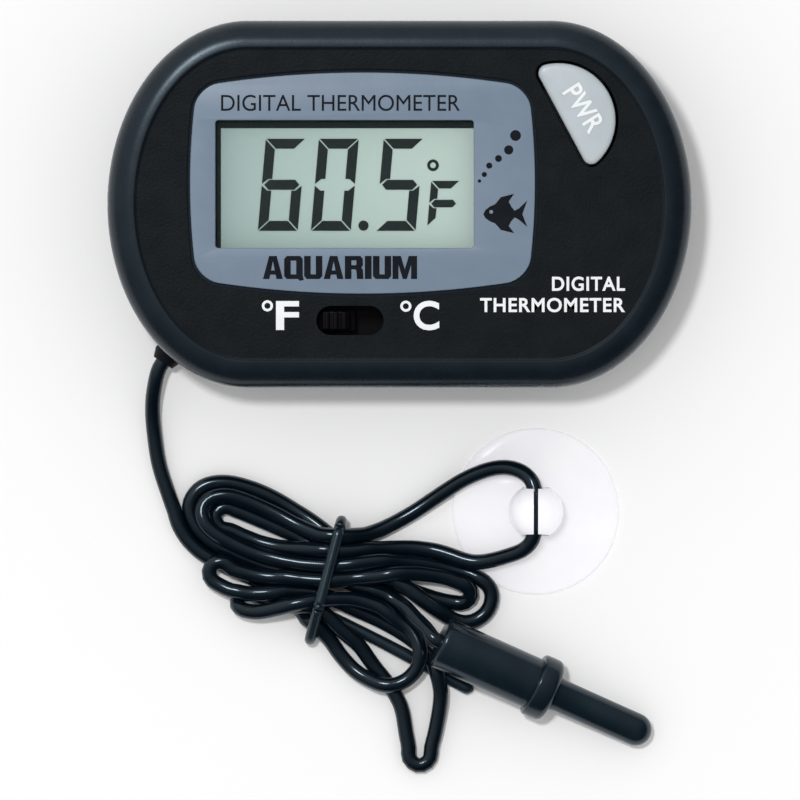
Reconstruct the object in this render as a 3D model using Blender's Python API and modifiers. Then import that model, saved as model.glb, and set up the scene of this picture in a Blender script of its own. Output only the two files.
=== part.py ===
"""Digital aquarium thermometer with a wired probe and a suction cup.

It lies on its back. The origin is the centre of the housing's back face, +Z
points out of the display and +Y to the display's top edge. Every size and
place is in millimetres, and becomes metres where a shape is made.
"""

import math

import bmesh
import bpy
from mathutils import Vector

MM = 0.001
GAP = 0.3

# Housing outline: straight top and bottom with elliptical ends.
STRAIGHT_HALF = 15.5
END_REACH = 14.5
HALF_HEIGHT = 18.85
OUTLINE_POINTS = 72
EDGE_ROUNDING = 2.6
WALL = 2.0

# Heights above the back face.
CASE_TOP = 15.0
PARTING = 7.5
FLOOR_TOP = 1.5
FACE_TOP = 14.8
PLATE_FLOOR = 14.25
ROOF_UNDERSIDE = 12.9
BOARD_BOTTOM, BOARD_TOP = 9.3, 10.2

# Display and its faceplate.
PLATE_CENTRE = (-3.8, 2.15)
PLATE_HALF = (17.0, 9.9)
PLATE_CORNER = 2.2
PLATE_BOW = (0.041, 0.146)
LCD_CENTRE = (-5.64, 2.05)
WINDOW_SIZE = (26.5, 13.1)
GLASS_SIZE = (29.5, 18.0)

# Power button: a circle cut by a chord.
BUTTON_CENTRE = (16.3, 8.6)
BUTTON_RADIUS = 5.85
BUTTON_CHORD = 0.36
BUTTON_CORNER = 0.9
BUTTON_TURN = math.radians(28.2)
BUTTON_TOP = 15.75

# Unit switch, at rest on its left stop.
SWITCH_CENTRE = (-5.08, -11.95)
SLOT_LENGTH, SLOT_WIDTH = 6.9, 3.0
KNOB_CENTRE_X = -6.55
KNOB_SIZE = (2.8, 2.0)

# Button cell and the coin-slot cap under it.
CELL_CENTRE = (13.0, -3.0)
CELL_RADIUS, CELL_HEIGHT = 5.8, 5.4
CELL_BOTTOM = 2.9
CAP_RADIUS, CAP_NECK = 8.7, 6.8
LUG_REACH, LUG_WIDTH = 8.3, 4.0
CAP_SEAT = 1.1
PAD_TOP = 1.8

# Screws.
CASE_SCREWS = ((-24.0, 8.6), (25.2, 4.0), (-23.6, -9.0), (23.6, -9.0))
BOARD_SCREWS = ((-18.5, -11.8), (18.0, -11.9))

# Cord, its exit through the housing's lower left wall, and the tie.
CORD_DIAMETER = 1.6
CORD_LIFT = 0.85
EXIT_POINT = (-23.85, -15.41, 3.6)
EXIT_DIRECTION = (-0.55, -0.835, 0.0)
TIE_DIAMETER = 1.15
TIE_LIFT = 0.62
HANK_TOP = 3.9

# Suction cup: the cord passes through its nub, along Y.
CUP_CENTRE = (14.05, -31.6)
CUP_RADIUS = 8.6
CUP_HOLE_HEIGHT = 4.6
CUP_HOLE_RADIUS = 1.2

# Probe: rear end, heading and tilt of its axis.
PROBE_REAR = (4.1, -45.0, 5.0)
PROBE_HEADING = math.radians(-24.2)
PROBE_TILT = math.radians(-7.8)
SLEEVE_RADIUS, SLEEVE_END = 2.7, 10.6
COLLAR_RADIUS, COLLAR_END = 3.325, 13.0
TIP_RADIUS, TIP_END = 1.7, 24.1

LEAD_ROUTE = (
    (-24.57, -16.5, 3.6), (-25.2, -17.9, 3.3), (-25.6, -19.6, 2.4), (-25.65, -21.3, 1.4),
    (-25.4, -23.0, 0.9), (-25.1, -25.5, CORD_LIFT), (-24.4, -28.7, CORD_LIFT),
    (-23.6, -31.4, CORD_LIFT), (-22.9, -33.6, CORD_LIFT), (-21.95, -35.3, CORD_LIFT),
)
HANK_OUTLINE = (
    (-22.2, -31.2), (-21.4, -29.2), (-19.2, -27.9), (-16.3, -28.1), (-12.8, -29.4), (-9.5, -31.3),
    (-6.6, -33.0), (-5.2, -33.6), (-5.0, -35.0), (-4.8, -36.3), (-1.0, -36.5), (4.0, -36.9),
    (6.9, -37.9), (9.3, -38.9), (10.2, -40.6), (9.4, -42.6), (7.4, -43.0), (4.9, -42.2),
    (2.0, -41.6), (-2.0, -41.6), (-5.0, -42.6), (-8.0, -43.5), (-10.5, -43.4), (-13.5, -43.6),
    (-16.5, -43.4), (-18.3, -41.8), (-19.0, -39.8), (-20.8, -38.2), (-21.2, -36.6), (-20.9, -34.9),
    (-21.9, -33.2),
)
CUP_LOOP_ROUTE = (
    (-4.2, -34.1, 2.5), (-2.1, -33.1, 2.3), (0.05, -31.9, 1.7), (2.6, -30.05, 1.1),
    (5.3, -28.2, 1.4), (7.85, -27.0, 2.3), (10.7, -26.4, 3.3), (12.9, -26.9, 4.1),
    (13.95, -28.2, 4.6), (14.05, -29.8, 4.6), (14.05, -31.6, 4.6), (14.05, -33.6, 4.6),
    (13.7, -35.2, 4.4), (11.9, -36.6, 3.5), (9.5, -37.0, 2.4), (7.2, -36.4, 1.6),
    (5.2, -35.8, 1.2), (3.1, -35.5, 0.9), (0.05, -35.3, CORD_LIFT), (-2.6, -35.4, CORD_LIFT),
    (-4.1, -35.5, CORD_LIFT),
)
FOLD_ROUTE = (
    (-5.1, -43.6, 2.4), (-4.1, -45.3, 2.3), (-2.4, -47.6, 1.2), (-0.9, -50.0, CORD_LIFT),
    (0.2, -52.4, CORD_LIFT), (0.65, -55.0, CORD_LIFT), (1.05, -57.2, CORD_LIFT),
    (2.05, -58.15, CORD_LIFT), (3.1, -57.0, CORD_LIFT), (4.1, -53.9, CORD_LIFT), (4.5, -50.9, 1.5),
    (4.4, -48.7, 2.2), (3.9, -46.8, 1.4), (3.5, -45.2, 0.9), (3.3, -43.6, CORD_LIFT),
)
LOWER_LOOP_ROUTE = (
    (-1.3, -42.6, 2.5), (-0.1, -43.2, 2.4), (1.3, -44.4, 2.0), (2.0, -46.3, 2.2),
    (1.8, -48.2, 2.4), (0.6, -49.5, 2.8), (-1.0, -49.9, 3.0), (-3.0, -49.2, 2.5),
    (-5.0, -47.5, 2.0), (-6.4, -45.8, 2.3), (-7.1, -44.6, 2.5),
)
TAIL_ROUTE = ((2.2, -42.6, 2.9), (2.8, -43.2, 4.0), (3.3, -43.9, 4.8), (3.84, -44.87, 5.03))
TIE_ROUTE = (
    (7.95, -50.6, TIE_LIFT), (4.7, -48.95, TIE_LIFT), (1.4, -47.3, TIE_LIFT),
    (-2.5, -45.6, TIE_LIFT), (-6.0, -45.2, TIE_LIFT), (-8.4, -45.3, 1.1), (-9.3, -45.1, 2.7),
    (-9.1, -43.9, 4.5), (-8.6, -42.2, 4.85), (-7.95, -39.7, 4.85), (-7.3, -36.5, 4.85),
    (-6.5, -34.0, 4.95), (-6.05, -32.4, 4.3), (-5.95, -31.7, 2.5), (-6.1, -32.2, 0.9),
    (-6.7, -34.0, TIE_LIFT), (-7.6, -37.5, TIE_LIFT), (-8.2, -40.6, TIE_LIFT),
)
WIRE_DIAMETER = 0.5
RED_WIRE_ROUTE = (
    (-21.27, -12.3, 3.6), (-19.6, -11.4, 3.8), (-17.2, -9.9, 5.4), (-16.2, -9.2, 7.3),
    (-16.0, -9.1, 8.6),
)
BLACK_WIRE_ROUTE = (
    (-22.03, -11.8, 3.6), (-20.2, -10.6, 3.9), (-18.0, -8.6, 5.4), (-16.6, -7.7, 7.3),
    (-16.3, -7.6, 8.6),
)


def clear_scene():
    for existing in list(bpy.data.objects):
        bpy.data.objects.remove(existing)


def collection(name):
    made = bpy.data.collections.new(name)
    bpy.context.scene.collection.children.link(made)
    return made


def material(name, colour, roughness, metallic=0.0, transmission=0.0):
    made = bpy.data.materials.new(name)
    made.use_nodes = True
    shader = made.node_tree.nodes["Principled BSDF"]
    shader.inputs["Base Color"].default_value = (*colour, 1.0)
    shader.inputs["Roughness"].default_value = roughness
    shader.inputs["Metallic"].default_value = metallic
    shader.inputs["Transmission Weight"].default_value = transmission
    made.diffuse_color = (*colour, 1.0)
    return made


def place(name, data, finish, at):
    piece = bpy.data.objects.new(name, data)
    piece.location = Vector(at) * MM
    PARTS.objects.link(piece)
    if finish:
        data.materials.append(finish)
    return piece


def meshed(curve_object):
    """The curve as one closed mesh object, with its caps welded to its sides."""
    name = curve_object.name
    curve_object.name = name + "_curve"
    bpy.context.view_layer.update()
    graph = bpy.context.evaluated_depsgraph_get()
    mesh = bpy.data.meshes.new_from_object(curve_object.evaluated_get(graph))
    shape = bmesh.new()
    shape.from_mesh(mesh)
    bmesh.ops.remove_doubles(shape, verts=shape.verts, dist=1e-7)
    flat = math.radians(0.5)
    bmesh.ops.dissolve_limit(shape, angle_limit=flat, verts=shape.verts, edges=shape.edges)
    bmesh.ops.recalc_face_normals(shape, faces=shape.faces)
    shape.to_mesh(mesh)
    shape.free()
    piece = bpy.data.objects.new(name, mesh)
    PARTS.objects.link(piece)
    piece.matrix_world = curve_object.matrix_world
    bpy.data.objects.remove(curve_object)
    return piece


def flat_solid(name, loops, low, high, finish=None, at=(0.0, 0.0)):
    """Closed outlines in the XY plane, the first with the others cut out of it, given a height."""
    curve = bpy.data.curves.new(name, "CURVE")
    curve.dimensions = "2D"
    curve.fill_mode = "BOTH"
    curve.extrude = (high - low) / 2 * MM
    for loop in loops:
        spline = curve.splines.new("POLY")
        spline.points.add(len(loop) - 1)
        spline.use_cyclic_u = True
        for point, (x, y) in zip(spline.points, loop):
            point.co = (x * MM, y * MM, 0.0, 1.0)
    return meshed(place(name, curve, finish, (at[0], at[1], (low + high) / 2)))


def box(name, low, high, finish=None):
    centre = [(a + b) / 2 for a, b in zip(low, high)]
    mesh = bpy.data.meshes.new(name)
    shape = bmesh.new()
    bmesh.ops.create_cube(shape, size=1.0)
    bmesh.ops.scale(shape, vec=[(b - a) * MM for a, b in zip(low, high)], verts=shape.verts)
    shape.to_mesh(mesh)
    shape.free()
    return place(name, mesh, finish, centre)


def turned(name, profile, finish=None, at=(0.0, 0.0, 0.0), along=(0, 0, 1), steps=32):
    """A profile of (radius, height) turned about its height axis, which then points along."""
    mesh = bpy.data.meshes.new(name)
    shape = bmesh.new()
    corners = [shape.verts.new((radius * MM, 0.0, height * MM)) for radius, height in profile]
    on_axis = profile[0][0] == 0 and profile[-1][0] == 0
    following = corners[1:] if on_axis else corners[1:] + corners[:1]
    for corner, other in zip(corners, following):
        shape.edges.new((corner, other))
    shape.to_mesh(mesh)
    shape.free()
    piece = place(name, mesh, finish, at)
    screw = piece.modifiers.new("turn", "SCREW")
    screw.steps = steps
    screw.render_steps = steps
    screw.use_merge_vertices = True
    screw.merge_threshold = 1e-6
    piece.rotation_euler = Vector((0, 0, 1)).rotation_difference(Vector(along)).to_euler()
    return piece


def rod(name, radius, low, high, finish=None, at=(0.0, 0.0), steps=24):
    profile = ((0, high), (radius, high), (radius, low), (0, low))
    return turned(name, profile, finish, (at[0], at[1], 0.0), steps=steps)


def ring(name, outer, inner, low, high, at):
    profile = ((outer, high), (outer, low), (inner, low), (inner, high))
    return turned(name, profile, None, (*at, 0.0), steps=24)


def spline_point(a, b, c, d, t):
    """Catmull-Rom: the point at t between b and c."""
    return 0.5 * (2 * b + (c - a) * t + (2 * a - 5 * b + 4 * c - d) * t**2 + (3 * b - a - 3 * c + d) * t**3)


def smooth_route(route, spacing, closed=False):
    """Points at an even spacing along a smooth curve through the route's own points."""
    points = [Vector(point) for point in route]
    count = len(points)
    dense = []
    for i in range(count if closed else count - 1):
        around = range(i - 1, i + 3)
        if closed:
            four = [points[k % count] for k in around]
        else:
            four = [points[min(max(k, 0), count - 1)] for k in around]
        dense += [spline_point(*four, step / 12) for step in range(12)]
    dense.append(points[0] if closed else points[-1])
    lengths = [0.0]
    for a, b in zip(dense, dense[1:]):
        lengths.append(lengths[-1] + (b - a).length)
    pieces = max(2, round(lengths[-1] / spacing))
    even = []
    at = 0
    for i in range(pieces + 1):
        want = lengths[-1] * i / pieces
        while at < len(dense) - 2 and lengths[at + 1] < want:
            at += 1
        share = (want - lengths[at]) / (lengths[at + 1] - lengths[at])
        even.append(dense[at].lerp(dense[at + 1], min(share, 1.0)))
    return even[:-1] if closed else even


def tube(name, route, diameter, spacing, finish):
    curve = bpy.data.curves.new(name, "CURVE")
    curve.dimensions = "3D"
    curve.bevel_depth = diameter / 2 * MM
    curve.bevel_resolution = 2
    curve.use_fill_caps = True
    points = smooth_route(route, spacing)
    spline = curve.splines.new("POLY")
    spline.points.add(len(points) - 1)
    for point, where in zip(spline.points, points):
        point.co = (*(where * MM), 1.0)
    return place(name, curve, finish, (0.0, 0.0, 0.0))


def combine(piece, other, operation):
    """Joins the other shape to the piece or cuts it away, and files it with the cutters."""
    boolean = piece.modifiers.new(other.name, "BOOLEAN")
    boolean.operation = operation
    boolean.object = other
    other.hide_render = True
    other.display_type = "WIRE"
    PARTS.objects.unlink(other)
    CUTTERS.objects.link(other)


def cut(piece, *cutters):
    for cutter in cutters:
        combine(piece, cutter, "DIFFERENCE")


def join(piece, *others):
    for other in others:
        combine(piece, other, "UNION")


def round_edges(piece, width, segments=3):
    bevel = piece.modifiers.new("rounding", "BEVEL")
    bevel.width = width * MM
    bevel.segments = segments
    bevel.limit_method = "ANGLE"
    bevel.angle_limit = math.radians(50)
    bevel.use_clamp_overlap = False


def settle(piece):
    """Applies the modifiers and shades the round faces smooth."""
    bpy.context.view_layer.update()
    graph = bpy.context.evaluated_depsgraph_get()
    mesh = bpy.data.meshes.new_from_object(piece.evaluated_get(graph))
    shape = bmesh.new()
    shape.from_mesh(mesh)
    bmesh.ops.remove_doubles(shape, verts=shape.verts, dist=2e-6)
    shape.to_mesh(mesh)
    shape.free()
    piece.modifiers.clear()
    piece.data = mesh
    mesh.shade_smooth()
    mesh.set_sharp_from_angle(angle=math.radians(35))


def housing_outline(inset=0.0):
    reach, height = END_REACH - inset, HALF_HEIGHT - inset
    points = []
    for i in range(OUTLINE_POINTS):
        angle = (i + 0.5) * 2 * math.pi / OUTLINE_POINTS
        side = math.copysign(STRAIGHT_HALF, math.cos(angle))
        points.append((side + reach * math.cos(angle), height * math.sin(angle)))
    return points


def rounded_rectangle(width, height, radius, steps=5):
    points = []
    for quarter in range(4):
        x = (width / 2 - radius) * (1 if quarter in (0, 3) else -1)
        y = (height / 2 - radius) * (1 if quarter < 2 else -1)
        for step in range(steps + 1):
            angle = (quarter + step / steps) * math.pi / 2
            points.append((x + radius * math.cos(angle), y + radius * math.sin(angle)))
    return points


def stadium(length, width, steps=8):
    points = []
    for side in (1, -1):
        for step in range(steps + 1):
            angle = math.pi * step / steps - side * math.pi / 2
            x = side * (length - width) / 2 + width / 2 * math.cos(angle)
            points.append((x, width / 2 * math.sin(angle)))
    return points


def plate_outline(grow=0.0):
    """A rounded rectangle whose four sides bow outward."""
    half_x, half_y = PLATE_HALF[0] + grow, PLATE_HALF[1] + grow
    corner = PLATE_CORNER + grow
    points = []
    for x, y in subdivided(rounded_rectangle(2 * half_x, 2 * half_y, corner), 3.0):
        bow_x = 1 + PLATE_BOW[0] * (1 - (y / half_y) ** 2)
        bow_y = 1 + PLATE_BOW[1] * (1 - (x / half_x) ** 2)
        points.append((x * bow_x, y * bow_y))
    return points


def subdivided(loop, longest):
    """The loop with extra points on any side over the longest."""
    points = []
    for (x, y), (next_x, next_y) in zip(loop, loop[1:] + loop[:1]):
        pieces = max(1, math.ceil(math.hypot(next_x - x, next_y - y) / longest))
        for i in range(pieces):
            points.append((x + (next_x - x) * i / pieces, y + (next_y - y) * i / pieces))
    return points


def button_outline(grow=0.0):
    """A circle cut by a chord, with both corners rounded, its flat side facing the display."""
    radius = BUTTON_RADIUS + grow
    chord = BUTTON_CHORD - grow
    corner = BUTTON_CORNER + grow
    corner_x = chord + corner
    corner_y = math.sqrt((radius - corner) ** 2 - corner_x**2)
    sweep = math.atan2(corner_y, corner_x)
    points = []
    for i in range(20):
        angle = -sweep + 2 * sweep * i / 19
        points.append((radius * math.cos(angle), radius * math.sin(angle)))
    for side in (1, -1):
        for i in range(1, 6):
            share = i / 5 if side > 0 else 1 - (i - 1) / 5
            angle = side * (sweep + (math.pi - sweep) * share)
            points.append((corner_x + corner * math.cos(angle), side * corner_y + corner * math.sin(angle)))
    points.pop()
    turn_cos, turn_sin = math.cos(BUTTON_TURN), math.sin(BUTTON_TURN)
    return [(x * turn_cos - y * turn_sin, x * turn_sin + y * turn_cos) for x, y in points]


def case_block(name, finish):
    """The whole housing as one solid, which each half is cut from."""
    block = flat_solid(name, [housing_outline()], 0.0, CASE_TOP, finish)
    round_edges(block, EDGE_ROUNDING, 4)
    return block


def front_case():
    case = case_block("front_case", BLACK)
    low = PARTING + GAP
    cut(case, flat_solid("front_pocket", [housing_outline(WALL)], low - 2, ROOF_UNDERSIDE))
    cut(case, flat_solid("face_recess", [housing_outline(EDGE_ROUNDING + 0.15)], FACE_TOP, CASE_TOP + 1))
    bosses = [ring(f"front_boss_{i}", 2.1, 1.15, low - 1, 13.4, at) for i, at in enumerate(CASE_SCREWS)]
    bosses += [
        ring(f"board_post_{i}", 1.8, 1.0, BOARD_TOP + GAP, 13.4, at) for i, at in enumerate(BOARD_SCREWS)
    ]
    join(case, *bosses)
    cut(case, box("front_below", (-40, -30, -5), (40, 30, low)))
    above = CASE_TOP + 2
    window = rounded_rectangle(WINDOW_SIZE[0] + 2 * GAP, WINDOW_SIZE[1] + 2 * GAP, 0.8)
    cut(case, flat_solid("plate_recess", [plate_outline(GAP)], PLATE_FLOOR, above, at=PLATE_CENTRE))
    cut(case, flat_solid("window_hole", [window], ROOF_UNDERSIDE - 1, above - 0.5, at=LCD_CENTRE))
    cut(case, flat_solid("button_hole", [button_outline(GAP)], ROOF_UNDERSIDE - 1, above, at=BUTTON_CENTRE))
    slot = stadium(SLOT_LENGTH, SLOT_WIDTH)
    cut(case, flat_solid("switch_slot", [slot], ROOF_UNDERSIDE - 1, above, at=SWITCH_CENTRE))
    settle(case)


def rear_case():
    case = case_block("rear_case", BLACK)
    cut(case, flat_solid("rear_pocket", [housing_outline(WALL)], FLOOR_TOP, PARTING + 2))
    join(case, rod("cap_pad", CAP_RADIUS + 1.5, CAP_SEAT - 0.1, PAD_TOP, at=CELL_CENTRE, steps=40))
    join(case, *[rod(f"rear_boss_{i}", 2.9, 1.1, PARTING + 1, at=at) for i, at in enumerate(CASE_SCREWS)])
    cut(case, box("rear_above", (-40, -30, PARTING), (40, 30, 20)))
    stepped = ((0, 9), (1.2, 9), (1.2, 1.95), (2.1, 1.95), (2.1, -2), (0, -2))
    bores = [turned(f"counterbore_{i}", stepped, at=(*at, 0), steps=24) for i, at in enumerate(CASE_SCREWS)]
    cut(case, *bores)
    seat = ((0, CAP_SEAT), (CAP_RADIUS + GAP, CAP_SEAT), (CAP_RADIUS + GAP, -1), (0, -1))
    cut(case, turned("cap_seat", seat, at=(*CELL_CENTRE, 0), steps=48))
    cut(case, rod("cap_hole", CAP_NECK + GAP, -1, 3, at=CELL_CENTRE, steps=44))
    reach, half = LUG_REACH + GAP, LUG_WIDTH / 2 + GAP
    notch = box("lug_notch", (-reach, -half, -1), (reach, half, 3))
    notch.location.x, notch.location.y = CELL_CENTRE[0] * MM, CELL_CENTRE[1] * MM
    notch.rotation_euler.z = math.radians(45)
    cut(case, notch)
    profile = ((0, 3), (1.8, 3), (1.8, -5), (0, -5))
    cut(case, turned("exit_hole", profile, None, EXIT_POINT, EXIT_DIRECTION))
    settle(case)


def faceplate():
    window = rounded_rectangle(*WINDOW_SIZE, 0.8)
    shift_x, shift_y = (a - b for a, b in zip(LCD_CENTRE, PLATE_CENTRE))
    window = [(x + shift_x, y + shift_y) for x, y in window]
    low, high = PLATE_FLOOR + GAP, FACE_TOP + 0.1
    settle(flat_solid("faceplate", [plate_outline(), window], low, high, BLUE_GREY, PLATE_CENTRE))


def display():
    """The layers under the window, from the clear pane down to the contacts on the board."""
    pane = rounded_rectangle(*WINDOW_SIZE, 0.8)
    flat_solid("display_window", [pane], 13.1, 13.8, CLEAR, LCD_CENTRE)
    width, height = GLASS_SIZE
    sheet = rounded_rectangle(width, height, 0.3, 2)
    flat_solid("lcd_front_glass", [sheet], 12.05, 12.6, LCD_GLASS, LCD_CENTRE)
    ledge = 3.2
    rear = rounded_rectangle(width, height - ledge, 0.3, 2)
    flat_solid("lcd_rear_glass", [rear], 11.2, 11.75, LCD_GLASS, LCD_CENTRE)
    flat_solid("lcd_reflector", [rear], 10.7, 10.9, REFLECTOR, LCD_CENTRE)
    outside = rounded_rectangle(width + 2.0, height + 2.0, 0.8, 2)
    frame = [outside, rounded_rectangle(width + 2 * GAP, height + 2 * GAP, 0.5, 2)]
    flat_solid("lcd_frame", frame, BOARD_TOP + GAP, 12.6, WHITE_PLASTIC, LCD_CENTRE)
    for name, side in (("zebra_strip_upper", 1), ("zebra_strip_lower", -1)):
        middle = LCD_CENTRE[1] + side * (height / 2 - ledge / 4)
        low = (LCD_CENTRE[0] - 13.5, middle - 0.5, BOARD_TOP + GAP)
        box(name, low, (LCD_CENTRE[0] + 13.5, middle + 0.5, 11.75), RUBBER)


def circuit_board():
    sheet = rounded_rectangle(42, 28.6, 2)
    board = flat_solid("circuit_board", [sheet], BOARD_BOTTOM, BOARD_TOP, BOARD_GREEN)
    cut(board, *[rod(f"board_hole_{i}", 1.0, 8, 11, at=at) for i, at in enumerate(BOARD_SCREWS)])
    settle(board)
    under = BOARD_BOTTOM - GAP
    dome = ((0, 0), (4, 0), (3.8, -0.5), (3.1, -1.0), (1.8, -1.35), (0, -1.45))
    settle(turned("chip_dome", dome, RUBBER, (-6.0, 3.0, under)))
    can = ((0, 3), (0.8, 3), (1.0, 2.8), (1.0, -3), (0, -3))
    settle(turned("crystal", can, STEEL, (-14.0, 9.0, under - 1.0), (1, 0, 0), 20))
    for i, y in enumerate((-2.0, 0.5)):
        box(f"resistor_{i + 1}", (-15.0, y, under - 0.6), (-13.0, y + 1.25, under), RUBBER)
    box("capacitor", (-15.6, 4.0, under - 1.2), (-12.4, 5.6, under), BEIGE)


def power_button():
    cap = flat_solid("button_cap", [button_outline()], 12.2, BUTTON_TOP, PALE_BLUE, BUTTON_CENTRE)
    round_edges(cap, 0.5)
    join(cap, flat_solid("button_flange", [button_outline(0.8)], 11.6, 12.5, None, BUTTON_CENTRE))
    settle(cap)
    settle(rod("button_pill", 1.6, 11.05, 11.3, RUBBER, (18.3, 9.6)))


def unit_switch():
    x, y = SWITCH_CENTRE
    body = box("switch_housing", (x - 4.75, y - 2.2, BOARD_TOP + GAP), (x + 4.75, y + 2.2, 12.6), BLACK)
    cut(body, box("switch_channel", (x - 4.1, y - 1.5, 10.8), (x + 4.1, y + 1.5, 14)))
    settle(body)
    half_x, half_y = KNOB_SIZE[0] / 2, KNOB_SIZE[1] / 2
    low, high = (KNOB_CENTRE_X - half_x, y - half_y, 11.5), (KNOB_CENTRE_X + half_x, y + half_y, 14.3)
    knob = box("switch_slider", low, high, BLACK)
    join(knob, box("slider_base", (-8.85, y - 1.2, 11.1), (-4.65, y + 1.2, 12.3)))
    for i in range(3):
        groove_x = KNOB_CENTRE_X + (i - 1) * 0.8
        cut(knob, box(f"knob_groove_{i}", (groove_x - 0.17, y - 2, 13.95), (groove_x + 0.17, y + 2, 15)))
    settle(knob)


def battery():
    x, y = CELL_CENTRE
    top = CELL_BOTTOM + CELL_HEIGHT
    shoulder = CELL_RADIUS - 0.9
    cell = (
        (0, top), (shoulder, top), (shoulder, top - 0.5), (CELL_RADIUS, top - 0.9), (CELL_RADIUS, CELL_BOTTOM),
        (0, CELL_BOTTOM),
    )
    settle(turned("battery_cell", cell, STEEL, (x, y, 0)))
    box("battery_contact_top", (x - 4.5, y - 1.5, top + GAP), (x + 4.5, y + 1.5, top + GAP + 0.25), STEEL)
    side = x - CELL_RADIUS - GAP
    box("battery_contact_side", (side - 0.3, y - 1.4, 3.8), (side, y + 1.4, BOARD_BOTTOM - GAP), STEEL)
    wall = ((8.3, 9.0), (8.3, 3.0), (6.15, 3.0), (6.15, 9.0))
    holder = turned("battery_holder", wall, WHITE_PLASTIC, (x, y, 0))
    cut(holder, box("contact_slot", (side - 4, y - 1.9, 1), (side + 1, y + 1.9, 10)))
    settle(holder)
    disc = (
        (0, 2.6), (CAP_NECK, 2.6), (CAP_NECK, 0.8), (CAP_RADIUS, 0.8), (CAP_RADIUS, 0.4), (CAP_RADIUS - 0.2, 0.2),
        (0, 0.2),
    )
    cap = turned("battery_cap", disc, BLACK, (x, y, 0), steps=48)
    lugs = box("cap_lugs", (x - LUG_REACH, y - LUG_WIDTH / 2, 2.1), (x + LUG_REACH, y + LUG_WIDTH / 2, 2.5))
    join(cap, lugs)
    cut(cap, flat_solid("coin_slot", [stadium(9.5, 1.6)], -1, 0.95, at=CELL_CENTRE))
    settle(cap)


def screws():
    """Case screws driven from the back, and board screws driven up into the front case."""
    heads = (
        ("case_screw", CASE_SCREWS, 0.4, 1.75, 0.85, 11.9),
        ("board_screw", BOARD_SCREWS, 7.8, 1.5, 0.7, 12.3),
    )
    for name, places, low, head, shank, tip in heads:
        profile = ((0, tip), (shank, tip - 0.6), (shank, low + 1.2), (head, low + 1.2), (head, low + 0.3),
                   (head - 0.4, low), (0, low))
        model = turned(f"{name}_1", profile, STEEL, (*places[0], 0), steps=20)
        for side in (0, 1):
            size = (1.1, 0.22) if side else (0.22, 1.1)
            low_corner = (places[0][0] - size[0], places[0][1] - size[1], low - 1)
            high_corner = (places[0][0] + size[0], places[0][1] + size[1], low + 0.6)
            cut(model, box(f"{name}_recess_{side}", low_corner, high_corner))
        settle(model)
        for i, at in enumerate(places[1:]):
            place(f"{name}_{i + 2}", model.data, None, (*at, 0))


def cord_exit():
    bore, outer = 0.55, 1.15
    profile = (
        (outer, 1.0), (1.5, 0.1), (1.5, -3.25), (1.75, -3.3), (1.75, -3.75), (bore, -3.75), (bore, 1.0),
    )
    settle(turned("cord_grommet", profile, RUBBER, EXIT_POINT, EXIT_DIRECTION, 24))
    tube("sensor_wire_red", RED_WIRE_ROUTE, WIRE_DIAMETER, 1.6, RED_PLASTIC)
    tube("sensor_wire_black", BLACK_WIRE_ROUTE, WIRE_DIAMETER, 1.6, RUBBER)


def cord():
    spacing = 1.6 * CORD_DIAMETER
    outline = [(x, y) for x, y, _ in smooth_route([(x, y, 0) for x, y in HANK_OUTLINE], 2.0, closed=True)]
    hank = flat_solid("cord_hank", [outline], 0.05, HANK_TOP, CORD_BLACK)
    groove = box("tie_groove", (-1.4, -9, -1), (1.4, 9, 1.5))
    groove.location = (-7.5 * MM, -37.5 * MM, 0.25 * MM)
    groove.rotation_euler.z = math.radians(-14)
    cut(hank, groove)
    settle(hank)
    tube("cord_lead", LEAD_ROUTE, CORD_DIAMETER, spacing, CORD_BLACK)
    tube("cord_cup_loop", CUP_LOOP_ROUTE, CORD_DIAMETER, spacing, CORD_BLACK)
    tube("cord_fold", FOLD_ROUTE, CORD_DIAMETER, spacing, CORD_BLACK)
    tube("cord_lower_loop", LOWER_LOOP_ROUTE, CORD_DIAMETER, spacing, CORD_BLACK)
    tube("cord_tail", TAIL_ROUTE, CORD_DIAMETER, spacing, CORD_BLACK)
    tube("cord_tie", TIE_ROUTE, TIE_DIAMETER, 1.7, CORD_BLACK)


def suction_cup():
    nub = ((0, 7.2), (1.2, 7.1), (2.2, 6.7), (2.8, 6.0), (2.9, 5.2), (2.9, 4.0), (2.6, 3.4), (2.2, 3.0))
    skirt = ((2.7, 2.65), (4.0, 2.2), (6.0, 1.45), (7.6, 0.8), (CUP_RADIUS, 0.45), (CUP_RADIUS, 0.0))
    hollow = ((CUP_RADIUS - 0.7, 0.0), (7.0, 0.4), (5.4, 0.9), (3.4, 1.35), (0, 1.6))
    profile = [(radius, height - CUP_HOLE_HEIGHT) for radius, height in nub + skirt + hollow]
    cup = turned("suction_cup", profile, CLEAR, (*CUP_CENTRE, CUP_HOLE_HEIGHT), steps=40)
    hole = ((0, 3.6), (CUP_HOLE_RADIUS, 3.6), (CUP_HOLE_RADIUS, -3.6), (0, -3.6))
    cut(cup, turned("cord_hole", hole, None, (*CUP_CENTRE, CUP_HOLE_HEIGHT), (0, 1, 0), 20))
    settle(cup)


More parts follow.
